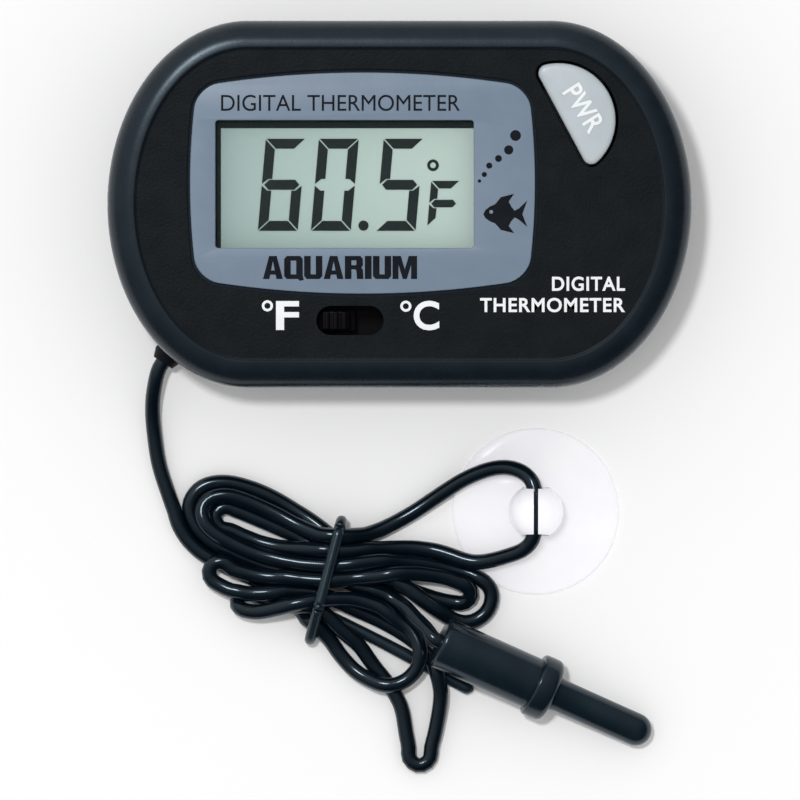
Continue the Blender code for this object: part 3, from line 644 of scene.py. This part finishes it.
def arc(centre, radius, start, end, steps=6):
    """Points of a round corner in a profile, angles in degrees."""
    points = []
    for i in range(steps + 1):
        angle = math.radians(start + (end - start) * i / steps)
        points.append((centre[0] + radius * math.cos(angle), centre[1] + radius * math.sin(angle)))
    return points


def cut(mesh, cutters, bevel=0.0, sharp=35):
    """The mesh with the other meshes cut out of it, and its sharp edges rounded."""
    holder = add_object(mesh.name + "_blank", mesh)
    tools = []
    for i, cutter in enumerate(cutters):
        tool = add_object(f"{mesh.name}_tool_{i}", cutter)
        tools.append(tool)
        modifier = holder.modifiers.new("cut", "BOOLEAN")
        modifier.operation = "DIFFERENCE"
        modifier.object = tool
        modifier.solver = "EXACT"
    if bevel:
        rounding = holder.modifiers.new("rounding", "BEVEL")
        rounding.width = bevel * MM
        rounding.segments = 3
        rounding.limit_method = "ANGLE"
        rounding.angle_limit = math.radians(40)
        rounding.use_clamp_overlap = True
        rounding.harden_normals = False
    made = evaluated_mesh(holder)
    made.name = mesh.name
    for extra in [holder, *tools]:
        bpy.data.objects.remove(extra)
    made.shade_smooth()
    made.set_sharp_from_angle(angle=math.radians(sharp))
    return made


def joined(name, meshes):
    shape = bmesh.new()
    for mesh in meshes:
        shape.from_mesh(mesh)
    return finished_mesh(shape, name)


# ---------------------------------------------------------------- finishes

COOL = (0.7, 0.87, 1.0, 1.0)
CASE = plastic("case_black", (0.0048, 0.0082, 0.0125), (0.0068, 0.0108, 0.0158), 0.27, 3200.0, 0.008,
               Specular_IOR_Level=0.34, Specular_Tint=COOL)
FACE = plastic("face_black", (0.0036, 0.0058, 0.0078), (0.0056, 0.0084, 0.0108), 0.42, 3600.0, 0.05,
               Specular_IOR_Level=0.09)
PLATE = plastic("faceplate_blue_grey", (0.158, 0.212, 0.282), (0.17, 0.225, 0.298), 0.3, 2500.0, 0.004,
                Specular_IOR_Level=0.4)
BUTTON = plastic("button_pale_blue", (0.43, 0.485, 0.515), (0.465, 0.515, 0.545), 0.36, 2200.0, 0.01)
KNOB = plastic("knob_black", (0.001, 0.0009, 0.0018), (0.0022, 0.0019, 0.0032), 0.34, 2500.0, 0.01,
               Specular_IOR_Level=0.08)
SLATE = plastic("probe_slate", (0.0035, 0.009, 0.0135), (0.0055, 0.0125, 0.0185), 0.2, 1800.0, 0.012,
                Specular_IOR_Level=0.5, Specular_Tint=COOL)
RUBBER = plastic("black_rubber_soft", (0.003, 0.0045, 0.006), (0.005, 0.007, 0.009), 0.5, 1800.0, 0.03,
                 Specular_IOR_Level=0.12)
JACKET = plastic("cord_blue_black", (0.0016, 0.0044, 0.008), (0.0032, 0.0072, 0.0118), 0.15, 900.0, 0.012,
                 Specular_IOR_Level=0.42, Specular_Tint=COOL)
BAND = plastic("tie_blue_black", (0.005, 0.0115, 0.0165), (0.0078, 0.0155, 0.022), 0.22, 1200.0, 0.02,
               Specular_IOR_Level=0.5, Specular_Tint=COOL)
INK = plastic("dark_ink", (0.004, 0.0055, 0.009), (0.007, 0.0095, 0.014), 0.5, 3000.0, 0.004,
              Specular_IOR_Level=0.08)
PALE_INK = plastic("pale_ink", (0.78, 0.8, 0.81), (0.83, 0.85, 0.86), 0.5, 3000.0, 0.004)
# Dark display print; the same colour also paints a shadow strip along the display's upper and left edges.
SEGMENT = plastic("lcd_segment", (0.010, 0.017, 0.017), (0.014, 0.022, 0.021), 0.5, 3000.0, 0.002,
                  Specular_IOR_Level=0.08)
STEEL = plastic("steel_brushed", (0.5, 0.5, 0.51), (0.62, 0.62, 0.63), 0.28, 2600.0, 0.01, Metallic=1.0)
WHITE_PLASTIC = plastic("white_moulding", (0.68, 0.68, 0.66), (0.76, 0.76, 0.74), 0.45, 2200.0, 0.015)
BEIGE = plastic("beige_ceramic_body", (0.48, 0.36, 0.24), (0.58, 0.45, 0.31), 0.5, 2400.0, 0.015)
BOARD = plastic("board_green", (0.001, 0.010, 0.004), (0.002, 0.016, 0.006), 0.4, 1600.0, 0.02)
EPOXY = plastic("black_epoxy_dome", (0.01, 0.01, 0.011), (0.018, 0.018, 0.02), 0.3, 1400.0, 0.03)
RED = plastic("red_wire", (0.42, 0.015, 0.015), (0.52, 0.025, 0.02), 0.4, 1800.0, 0.015)


def lcd_ground():
    """Grey-green glass, a little paler to the right, with painted shade along its upper and left edges under
    the window.
    """
    finish = shader("lcd_ground", (0.45, 0.52, 0.48), 0.22, Specular_IOR_Level=0.25)
    tree = finish.node_tree
    spot = tree.nodes.new("ShaderNodeSeparateXYZ")
    tree.links.new(object_coordinates(tree), spot.inputs["Vector"])
    left, top = (LCD_CENTRE[0] - 13.25) * MM, (LCD_CENTRE[1] + 6.55) * MM
    across = node(tree, "ShaderNodeMapRange", From_Min=left, From_Max=left + 26.5 * MM)
    tree.links.new(spot.outputs["X"], across.inputs["Value"])
    ramp = tree.nodes.new("ShaderNodeValToRGB")
    ramp.color_ramp.elements[0].color = (0.375, 0.50, 0.475, 1.0)
    ramp.color_ramp.elements[1].color = (0.56, 0.70, 0.64, 1.0)
    tree.links.new(across.outputs["Result"], ramp.inputs["Fac"])
    shade = None
    # Painted shade: the glass darkens toward its left and upper edges, where the window's rim would shade
    # it.
    for axis, edge, inner in (("X", left, left + 0.75 * MM), ("Y", top, top - 0.95 * MM)):
        fade = node(tree, "ShaderNodeMapRange", From_Min=edge, From_Max=inner, To_Min=0.42, To_Max=1.0)
        fade.interpolation_type = "SMOOTHSTEP"
        tree.links.new(spot.outputs[axis], fade.inputs["Value"])
        if shade is None:
            shade = fade.outputs["Result"]
            continue
        both = tree.nodes.new("ShaderNodeMath")
        both.operation = "MULTIPLY"
        tree.links.new(shade, both.inputs[0])
        tree.links.new(fade.outputs["Result"], both.inputs[1])
        shade = both.outputs["Value"]
    mix = tree.nodes.new("ShaderNodeMix")
    mix.data_type = "RGBA"
    mix.blend_type = "MULTIPLY"
    mix.inputs["Factor"].default_value = 1.0
    tree.links.new(ramp.outputs["Color"], mix.inputs["A"])
    tree.links.new(shade, mix.inputs["B"])
    tree.links.new(mix.outputs["Result"], tree.nodes["Principled BSDF"].inputs["Base Color"])
    return grain(finish, 2200.0, 0.003)


def clear_pane():
    """A thin clear window: it lets light straight through and only adds gloss."""
    finish = shader("window_pane", (0.10, 0.12, 0.12), 0.08, Alpha=0.03)
    vary_gloss(finish, 0.05, 0.12, 200.0)
    return grain(finish, 900.0, 0.004, 0.2)


def clear_vinyl(name, cover, painted_glow):
    """Clear, faintly lavender vinyl, milky where it is thick. Cover is the share of what lies
    behind that one skin hides, and painted_glow is painted light: an even emission that keeps the vinyl near
    white against its own shade."""
    # The emission is painted light: the vinyl glows evenly though it is no lamp.
    finish = shader(name, (0.955, 0.945, 0.985), 0.12, Alpha=cover, Emission_Strength=painted_glow)
    core = finish.node_tree.nodes["Principled BSDF"]
    core.inputs["Emission Color"].default_value = (0.985, 0.975, 1.0, 1.0)
    mottle(finish, (0.93, 0.915, 0.965), (0.985, 0.98, 1.0), 150.0)
    vary_gloss(finish, 0.06, 0.16, 240.0)
    return grain(finish, 420.0, 0.03, 0.25)


LCD_GROUND = lcd_ground()
PANE = clear_pane()
VINYL = clear_vinyl("clear_vinyl_thin", 0.36, 0.165)
NUB_VINYL = clear_vinyl("clear_vinyl_thick", 0.9, 0.13)
FINISH_OF_NODES = (
    (CASE, ("rear_case", "battery_cap", "front_case")),
    (KNOB, ("switch_housing", "battery_holder", "switch_slider")),
    (RUBBER, ("cord_grommet", "button_pill", "zebra_strip_lower", "zebra_strip_upper",
              "sensor_wire_black")),
    (STEEL, ("battery_cell", "battery_contact_side", "battery_contact_top", "board_screw_1", "board_screw_2",
             "case_screw_1", "case_screw_2", "case_screw_3", "case_screw_4", "crystal")),
    (BEIGE, ("capacitor", "resistor_1", "resistor_2")),
    (EPOXY, ("chip_dome", "thermistor_bead")),
    (BOARD, ("circuit_board",)),
    (WHITE_PLASTIC, ("lcd_frame", "lcd_reflector")),
    (LCD_GROUND, ("lcd_front_glass", "lcd_rear_glass")),
    (PANE, ("display_window",)),
    (PLATE, ("faceplate",)),
    (BUTTON, ("button_cap",)),
    (RED, ("sensor_wire_red",)),
    (SLATE, ("probe_sleeve", "probe_collar", "probe_tip")),
    (VINYL, ("suction_cup",)),
    (BAND, ("cord_tie",)),
    (JACKET, ("cord_lead", "cord_hank", "cord_cup_loop", "cord_fold", "cord_lower_loop", "cord_tail")),
)


def finish_cad_nodes():
    """Gives every CAD part the full finish of its material."""
    for finish, names in FINISH_OF_NODES:
        for name in names:
            NODES[name].data.materials.clear()
            NODES[name].data.materials.append(finish)


# ---------------------------------------------------------------- housing

def through_cut(name, outline, centre, low=11.0):
    """A cutter that opens the front shell from a height upward."""
    return loft(name, [(shifted(outline, centre), height) for height in (low, 17.0)])


def front_shell():
    rounding, shoulder, lip = 2.6, 12.4, 15.0
    levels = [(0.15, 7.8), (0.0, 7.95), (0.0, shoulder)]
    for step in range(1, 13):
        angle = math.radians(90 * step / 12)
        levels.append((rounding * (1 - math.cos(angle)), shoulder + rounding * math.sin(angle)))
    levels += [(2.72, lip), (2.79, 14.97), (2.84, 14.88), (2.92, 14.82), (3.05, FACE_HEIGHT)]
    outer = [(housing_outline(inset), height) for inset, height in levels]
    shell = loft("front_shell", outer, mark=len(outer) - 2)
    cutters = [
        loft("front_pocket", [(housing_outline(2.0), height) for height in (7.0, 12.9)]),
        through_cut("recess", plate_outline(0.3), PLATE_CENTRE, 14.25),
        through_cut("window", rounded_rectangle(27.1, 13.7, 0.8), LCD_CENTRE),
        through_cut("button", button_outline(0.3), BUTTON_CENTRE),
        through_cut("slot", stadium(6.9, 3.0), SWITCH_CENTRE),
    ]
    made = cut(shell, cutters, bevel=0.13)
    for face in made.polygons:
        if abs(face.normal.z) > 0.9999:
            face.use_smooth = False
    return add_piece("front_shell", made, (CASE, FACE), slot="black_plastic", replaces=["front_case"])


def faceplate():
    offset = (LCD_CENTRE[0] - PLATE_CENTRE[0], LCD_CENTRE[1] - PLATE_CENTRE[1])
    window = shifted(rounded_rectangle(*WINDOW_SIZE, WINDOW_CORNER), offset)
    mesh = moved(slab("faceplate_visual", [plate_outline(), window], 14.55, PLATE_TOP, 0.12), PLATE_CENTRE)
    return add_piece("faceplate_visual", mesh, PLATE, slot="faceplate", replaces=["faceplate"])


def display():
    pane = slab("window_pane", [rounded_rectangle(*WINDOW_SIZE, WINDOW_CORNER)], 13.1, 13.8, 0.05)
    glass = slab("lcd_plate", [rounded_rectangle(29.5, 18.0, 0.3, 2)], 12.05, 12.6, 0.04)
    add_piece("window_pane", moved(pane, LCD_CENTRE), PANE, slot="clear_window", replaces=["display_window"])
    add_piece("lcd_plate", moved(glass, LCD_CENTRE), LCD_GROUND, slot="lcd_glass",
              replaces=["lcd_front_glass"])


# ---------------------------------------------------------------- display digits

DIGIT_WIDTH, DIGIT_HEIGHT, STROKE, SLANT = 4.1, 9.45, 1.02, 0.087
SEGMENTS_OF = {"0": "abcdef", "5": "acdfg", "6": "acdefg", "F": "aefg"}


def digit(character, x, y, width, height, stroke, gap=0.13):
    """Outlines of a slanted seven-segment character whose lower left corner is (x, y)."""
    half, s, g = height / 2, stroke, gap / math.sqrt(2)
    low, high = half - s / 2, half + s / 2
    shapes = {
        "a": [(g, height), (width - g, height), (width - s - g, height - s), (s + g, height - s)],
        "b": [(width, half + g), (width, height - g), (width - s, height - s - g), (width - s, high + g),
              (width - 0.6 * s, high + g)],
        "c": [(width, g), (width, half - g), (width - 0.6 * s, low - g), (width - s, low - g),
              (width - s, s + g)],
        "d": [(g, 0), (s + g, s), (width - s - g, s), (width - g, 0)],
        "e": [(0, g), (s, s + g), (s, low - g), (0.6 * s, low - g), (0, half - g)],
        "f": [(0, half + g), (0.6 * s, high + g), (s, high + g), (s, height - s - g), (0, height - g)],
        "g": [(0.15 * s + g, half), (0.7 * s, high), (width - 0.7 * s, high), (width - 0.15 * s - g, half),
              (width - 0.7 * s, low), (0.7 * s, low)],
    }
    outlines = []
    for name in SEGMENTS_OF[character]:
        outlines.append([(x + px + SLANT * py, y + py) for px, py in shapes[name]])
    return outlines


def circle(centre, radius, count=40):
    angles = [2 * math.pi * i / count for i in range(count)]
    return [(centre[0] + radius * math.cos(angle), centre[1] + radius * math.sin(angle)) for angle in angles]


def flat_shapes(name, shapes, low, high):
    """Several thin slabs as one mesh. Each shape is a list of loops, the first with the others cut out."""
    return joined(name, [slab(f"{name}_{i}", loops, low, high) for i, loops in enumerate(shapes)])


def reading():
    shapes = []
    for character, x in (("6", -14.55), ("0", -9.1), ("5", -2.45)):
        shapes += [[outline] for outline in digit(character, x, -2.73, DIGIT_WIDTH, DIGIT_HEIGHT, STROKE)]
    shapes += [[outline] for outline in digit("F", 2.85, -2.26, 2.95, 4.66, 0.78)]
    shapes.append([circle((-3.7, -2.19), 0.52)])
    shapes.append([circle((3.44, 4.0), 0.6), circle((3.44, 4.0), 0.3)])
    # Painted shadow: an L-shaped dark sheet along the display's left and upper edges, where the window's rim
    # would shade the glass.
    left, right = LCD_CENTRE[0] - 13.4, LCD_CENTRE[0] + 13.4
    bottom, top = LCD_CENTRE[1] - 6.7, LCD_CENTRE[1] + 6.7
    inner_left, inner_top = left + 0.7, top - 0.95
    shapes.append([[(left, bottom), (inner_left, bottom), (inner_left, inner_top), (right, inner_top),
                    (right, top), (left, top)]])
    mesh = flat_shapes("lcd_segments_and_painted_shadow", shapes, 12.61, 12.68)
    return add_piece("lcd_segments_and_painted_shadow", mesh, SEGMENT, slot="lcd_glass")


# ---------------------------------------------------------------- print

def words(text, low, high, box, weight=0.0, turn=0.0, spread=1.0):
    """Plain lettering fitted to a box (left, bottom, right, top), between two heights. The weight
    is a share of the letters' size, and the turn is about the middle of the box."""
    curve = bpy.data.curves.new(text, "FONT")
    curve.body = text
    curve.size = 10 * MM
    curve.offset = weight * curve.size
    curve.space_character = spread
    curve.extrude = (high - low) / 2 * MM
    curve.resolution_u = 6
    mesh = curve_mesh(text, curve, (low + high) / 2)
    places = np.array([vertex.co for vertex in mesh.vertices])
    least, most = places.min(axis=0), places.max(axis=0)
    left, bottom, right, top = (value * MM for value in box)
    centre = Vector(((left + right) / 2, (bottom + top) / 2, 0))
    scale_x = (right - left) / (most[0] - least[0])
    scale_y = (top - bottom) / (most[1] - least[1])
    middle = (least + most) / 2
    mesh.transform(Matrix.Translation((-middle[0], -middle[1], 0)))
    mesh.transform(Matrix.Diagonal((scale_x, scale_y, 1, 1)))
    mesh.transform(Matrix.Translation(centre) @ Matrix.Rotation(turn, 4, "Z"))
    return mesh


# Heavy capitals one unit tall: the width of each, then its outline and any hole in it.
LETTERS = {
    "A": (1.0, [[(0, 0), (0.31, 1), (0.69, 1), (1, 0), (0.68, 0), (0.635, 0.19), (0.365, 0.19),
                 (0.32, 0)],
                [(0.405, 0.37), (0.595, 0.37), (0.5, 0.78)]]),
    "Q": (0.94, [[(0.13, 0), (0, 0.13), (0, 0.87), (0.13, 1), (0.81, 1), (0.94, 0.87), (0.94, 0.14),
                  (0.99, -0.04), (0.79, -0.08), (0.7, 0)],
                 [(0.33, 0.2), (0.61, 0.2), (0.61, 0.8), (0.33, 0.8)]]),
    "U": (0.92, [[(0, 1), (0.33, 1), (0.33, 0.2), (0.59, 0.2), (0.59, 1), (0.92, 1), (0.92, 0.13), (0.79, 0),
                  (0.13, 0), (0, 0.13)]]),
    "R": (0.94, [[(0, 0), (0, 1), (0.78, 1), (0.91, 0.87), (0.91, 0.58), (0.83, 0.49), (0.91, 0.4),
                  (0.94, 0), (0.61, 0), (0.58, 0.36), (0.52, 0.42), (0.33, 0.42), (0.33, 0)],
                 [(0.33, 0.6), (0.58, 0.6), (0.58, 0.81), (0.33, 0.81)]]),
    "I": (0.34, [[(0, 0), (0, 1), (0.34, 1), (0.34, 0)]]),
    "M": (1.24, [[(0, 0), (0, 1), (0.42, 1), (0.62, 0.42), (0.82, 1), (1.24, 1), (1.24, 0), (0.94, 0),
                  (0.94, 0.62), (0.72, 0), (0.52, 0), (0.3, 0.62), (0.3, 0)]]),
}


def heavy_word(text, low, high, box):
    """Heavy upright capitals without curves, fitted to a box (left, bottom, right, top)."""
    space = 0.07
    left, bottom, right, top = box
    total = sum(LETTERS[letter][0] for letter in text) + space * (len(text) - 1)
    wide, tall = (right - left) / total, top - bottom
    shapes, start = [], 0.0
    for letter in text:
        width, loops = LETTERS[letter]
        shapes.append([[(left + (start + x) * wide, bottom + y * tall) for x, y in loop] for loop in loops])
        start += width + space
    return flat_shapes(text, shapes, low, high)


def fish(centre):
    """A small plain fish facing left, as one outline with a hole for its eye."""
    x, y = centre
    half = [(-2.15, 0.0), (-1.95, 0.42), (-1.5, 0.78), (-0.95, 1.02), (-0.35, 1.75), (1.0, 2.1),
            (0.45, 1.3), (0.7, 0.8), (1.05, 0.35), (1.5, 0.6), (2.35, 1.4), (2.0, 0.45)]
    lower = [(px, -0.92 * py) for px, py in half[:0:-1]]
    outline = [(x + px, y + py) for px, py in [*half, (1.85, 0.0), *lower]]
    return [[outline, circle((x - 1.35, y + 0.25), 0.2, 16)]]


def plate_print():
    low, high = PLATE_TOP, PLATE_TOP + 0.025
    bubbles = ((11.9, 7.03, 0.55), (11.2, 5.55, 0.47), (10.15, 4.67, 0.35), (9.2, 3.94, 0.31),
               (8.7, 3.03, 0.26), (8.2, 2.36, 0.17))
    shapes = [[circle((x, y), radius)] for x, y, radius in bubbles] + fish((10.75, -1.05))
    meshes = [
        words("DIGITAL THERMOMETER", low, high, (-18.3, 9.54, 6.2, 11.2)),
        heavy_word("AQUARIUM", low, high, (-14.0, -7.69, 1.8, -5.33)),
        flat_shapes("emblems", shapes, low, high),
    ]
    return add_piece("plate_print", joined("plate_print", meshes), INK, slot="faceplate")


def case_print():
    low, high = 14.79, 14.825
    meshes = [
        words("F", low, high, (-12.67, -12.92, -10.31, -9.95), 0.024),
        words("C", low, high, (1.45, -12.95, 4.08, -9.92), 0.024),
        flat_shapes("degree_rings", [
            [circle(centre, 0.57), circle(centre, 0.31)] for centre in ((-13.55, -10.44), (0.65, -10.48))
        ], low, high),
        words("DIGITAL", low, high, (15.64, -8.92, 23.13, -7.44), 0.022, spread=1.1),
        words("THERMOMETER", low, high, (8.26, -11.1, 23.13, -9.62), 0.022, spread=1.1),
    ]
    return add_piece("case_print", joined("case_print", meshes), PALE_INK, slot="black_plastic")


# ---------------------------------------------------------------- button and switch

def power_button():
    edge = 15.05
    levels = [(0.0, 12.3), (0.0, edge)]
    for i in range(1, 7):
        angle = math.radians(15 * i)
        levels.append((-0.55 * (1 - math.cos(angle)), edge + 0.5 * math.sin(angle)))
    rows = [(button_outline(grow), height) for grow, height in levels]
    rim = rows[-1][0]
    middle = [sum(value[k] for value in rim) / len(rim) for k in (0, 1)]
    for share in (0.85, 0.65, 0.45, 0.25, 0.1):
        ring = [(middle[0] + (x - middle[0]) * share, middle[1] + (y - middle[1]) * share) for x, y in rim]
        rows.append((ring, edge + 0.5 + 0.17 * (1 - share**2)))
    rows = [(shifted(outline, BUTTON_CENTRE), height) for outline, height in rows]
    cap = add_piece("button_top", loft("button_top", rows), BUTTON, body="button", slot="pale_plastic",
                    replaces=["button_cap"])
    text = words("PWR", 15.7, 15.76, (16.35, 8.75, 21.45, 10.85), 0.018, math.radians(-57), 1.06)
    add_piece("button_print", text, PALE_INK, body="button", slot="pale_plastic")
    return cap


def switch_knob():
    base = slab("knob_base", [rounded_rectangle(4.1, 2.3, 0.25, 4)], 11.15, 12.3, 0.1)
    post = slab("knob_post", [rounded_rectangle(2.8, 2.0, 0.3, 4)], 12.0, 13.95, 0.14)
    ribs = []
    for i in range(3):
        rib = slab("knob_rib", [rounded_rectangle(0.5, 1.85, 0.12, 3)], 13.7, 14.3, 0.11)
        ribs.append(moved(rib, ((i - 1) * 0.88, 0.0)))
    mesh = moved(joined("slide_knob", [base, post, *ribs]), (-6.55, SWITCH_CENTRE[1]))
    return add_piece("slide_knob", mesh, KNOB, body="switch", slot="black_plastic",
                     replaces=["switch_slider"])


# ---------------------------------------------------------------- suction cup and probe

def suction_cup():
    nub = [(0, 7.2), (0.6, 7.17), *arc((0.0, 4.35), 2.85, 76, 0, 12), (2.84, 3.9), (2.72, 3.5),
           (2.5, 3.15), (2.42, 2.95)]
    skirt = list(CUP_SKIRT[:-1])
    rim = [(8.5, 0.5), (8.59, 0.38), (8.6, 0.22), (8.52, 0.08), (8.35, 0.01), (8.0, 0.03)]
    hollow = [(7.4, 0.22), (7.0, 0.4), (5.4, 0.9), (4.4, 1.15), (3.4, 1.35), (1.8, 1.53), (0, 1.6)]
    profile = [(radius, height - CUP_HOLE_HEIGHT) for radius, height in nub + skirt + rim + hollow]
    body = turned("cup_body", profile, (*CUP_CENTRE, CUP_HOLE_HEIGHT), steps=128, sharp=60)
    bore, mouth = CUP_HOLE_RADIUS, CUP_HOLE_RADIUS + BORE_FLARE
    hole = [(0, 3.6), (mouth, 3.6), (bore, 1.9), (bore, -1.9), (mouth, -3.6), (0, -3.6)]
    cutter = turned("cup_hole", hole, (*CUP_CENTRE, CUP_HOLE_HEIGHT), (0, 1, 0), steps=48)
    slit = loft("cup_slit", [(stadium(8.0, CUP_SLIT), height) for height in (CUP_HOLE_HEIGHT, 9.0)])
    slit.transform(Matrix.Rotation(math.radians(90), 4, "Z"))
    moved(slit, CUP_CENTRE)
    made = cut(body, [cutter, slit], sharp=60)
    made.materials.append(VINYL)
    made.materials.append(NUB_VINYL)
    centre = Vector((*CUP_CENTRE, 0.0)) * MM
    for face in made.polygons:
        from_axis = (face.center - centre).to_2d().length / MM
        on_nub = from_axis < NUB_RADIUS and face.center.z > NUB_FOOT * MM
        face.material_index = 1 if on_nub else 0
    return add_piece("clear_cup", made, (), body="suction_cup", slot="clear_vinyl", replaces=["suction_cup"])


def probe():
    bore = 0.86
    sleeve = [(bore, 0.0), *arc((2.25, 0.45), 0.45, 270, 360, 6), (SLEEVE_RADIUS, 3.0),
              (SLEEVE_RADIUS, 7.0), (SLEEVE_RADIUS, SLEEVE_LENGTH), (bore, SLEEVE_LENGTH)]
    collar = [(2.0, 10.7), *arc((3.0, 11.0), 0.3, 270, 360, 5), (3.325, 11.6),
              *arc((2.55, 12.2), 0.775, 10, 70, 8), (2.3, 13.0), (1.2, 13.05), (1.2, 10.7)]
    tip = [(0, TIP_END)]
    for i in range(1, 10):
        angle = math.radians(10 * i)
        tip.append((TIP_RADIUS * math.sin(angle), TIP_END - TIP_RADIUS * (1 - math.cos(angle))))
    tip += [(TIP_RADIUS, 22.0), (TIP_RADIUS, 18.0), (1.72, 13.6), (1.85, 13.15), (1.9, 12.9), (0, 12.9)]
    parts = (
        ("sleeve_visual", sleeve, "probe_sleeve"),
        ("collar_visual", collar, "probe_collar"),
        ("tip_visual", tip, "probe_tip"),
    )
    pieces = []
    for name, profile, node_name in parts:
        mesh = turned(name, profile, PROBE_REAR, PROBE_ALONG, steps=80, sharp=40)
        pieces.append(add_piece(name, mesh, SLATE, slot="slate_plastic", replaces=[node_name]))
    return pieces


# ---------------------------------------------------------------- cord and tie

def tie_swell(count):
    """Share of the tie's radius at each point: a rounded end, and a thicker tail."""
    return [min(1.0, 0.25 + math.sqrt(i / 2.5)) * (1.32 - 0.32 * min(1.0, i / 45)) for i in range(count)]


def cord_and_tie():
    points = settled_cord()
    flex = curve_tube("cord", points, CORD_RADIUS, JACKET, slot="cord_jacket", replaces=[
        "cord_lead", "cord_hank", "cord_cup_loop", "cord_fold", "cord_lower_loop", "cord_tail"])
    band_points = tie_points(points)
    band = curve_tube("tie", band_points, TIE_RADIUS, BAND, tie_swell(len(band_points)), slot="tie_coating",
                      replaces=["cord_tie"])


# ---------------------------------------------------------------- room

def floor():
    mesh = bpy.data.meshes.new("floor")
    size = 1.6
    corners = [(-size, -size, 0), (size, -size, 0), (size, size, 0), (-size, size, 0)]
    mesh.from_pydata(corners, [], [(0, 1, 2, 3)])
    finish = shader("floor_pale", (0.93, 0.93, 0.93), 0.9, Specular_IOR_Level=0.1)
    piece = add_object("floor", mesh)
    mesh.materials.append(finish)


def area_light(name, lean, toward, distance, size, power):
    """A round soft light over the object, leaning from the vertical by so many degrees toward an
    angle from the X axis. Its distance and size are in metres."""
    data = bpy.data.lights.new(name, "AREA")
    data.shape = "DISK"
    data.size = size
    data.energy = power
    made = add_object(name, data)
    tilt, turn = math.radians(lean), math.radians(toward)
    direction = Vector((math.sin(tilt) * math.cos(turn), math.sin(tilt) * math.sin(turn), math.cos(tilt)))
    centre = Vector((*VIEW_CENTRE, 5.0)) * MM
    made.location = centre + direction * distance
    made.rotation_mode = "QUATERNION"
    made.rotation_quaternion = direction.to_track_quat("Z", "Y")
    return made


def brighten_one_side(tree):
    """White surroundings, which gloss shows brightest toward the upper left and dimmest toward
    the lower right."""
    background = tree.nodes["Background"]
    background.inputs["Color"].default_value = (1.0, 1.0, 1.0, 1.0)
    toward = tree.nodes.new("ShaderNodeVectorMath")
    toward.operation = "DOT_PRODUCT"
    toward.inputs[1].default_value = (-0.55, 0.68, 0.48)
    tree.links.new(tree.nodes.new("ShaderNodeTexCoord").outputs["Generated"], toward.inputs[0])
    share = node(tree, "ShaderNodeMapRange", From_Min=-0.4, From_Max=1.0)
    tree.links.new(toward.outputs["Value"], share.inputs["Value"])
    squared = tree.nodes.new("ShaderNodeMath")
    squared.operation = "MULTIPLY_ADD"
    squared.inputs[2].default_value = 0.0
    tree.links.new(share.outputs["Result"], squared.inputs[0])
    tree.links.new(share.outputs["Result"], squared.inputs[1])
    glossy = node(tree, "ShaderNodeMapRange", To_Min=0.01, To_Max=1.05)
    tree.links.new(squared.outputs["Value"], glossy.inputs["Value"])
    ray = tree.nodes.new("ShaderNodeLightPath")
    strength = node(tree, "ShaderNodeMix", A=0.68)
    tree.links.new(ray.outputs["Is Glossy Ray"], strength.inputs["Factor"])
    tree.links.new(glossy.outputs["Result"], strength.inputs["B"])
    backdrop = node(tree, "ShaderNodeMix", B=1.0)
    tree.links.new(ray.outputs["Is Camera Ray"], backdrop.inputs["Factor"])
    tree.links.new(strength.outputs["Result"], backdrop.inputs["A"])
    tree.links.new(backdrop.outputs["Result"], background.inputs["Strength"])


def studio():
    world = bpy.data.worlds.new("studio")
    bpy.context.scene.world = world
    world.use_nodes = True
    brighten_one_side(world.node_tree)
    key = area_light("key", 10.0, 132.0, 0.9, 0.075, 3.35)
    key.visible_glossy = False
    sheen = area_light("sheen", 27.0, 122.0, 0.8, 0.2, 3.0)
    sheen.visible_diffuse = False


def camera():
    data = bpy.data.cameras.new("camera")
    data.sensor_width = SENSOR
    data.lens = SENSOR * (CAMERA_HEIGHT - FACE_HEIGHT) / VIEW_WIDTH
    data.clip_start, data.clip_end = 0.05, 20.0
    made = add_object("camera", data)
    made.location = (VIEW_CENTRE[0] * MM, VIEW_CENTRE[1] * MM, CAMERA_HEIGHT * MM)
    bpy.context.scene.camera = made
    bpy.context.scene.view_settings.view_transform = "Standard"


camera()
studio()
floor()
finish_cad_nodes()
CUP = suction_cup()
PROBE = probe()
cord_and_tie()
front_shell()
faceplate()
display()
reading()
plate_print()
case_print()
power_button()
switch_knob()
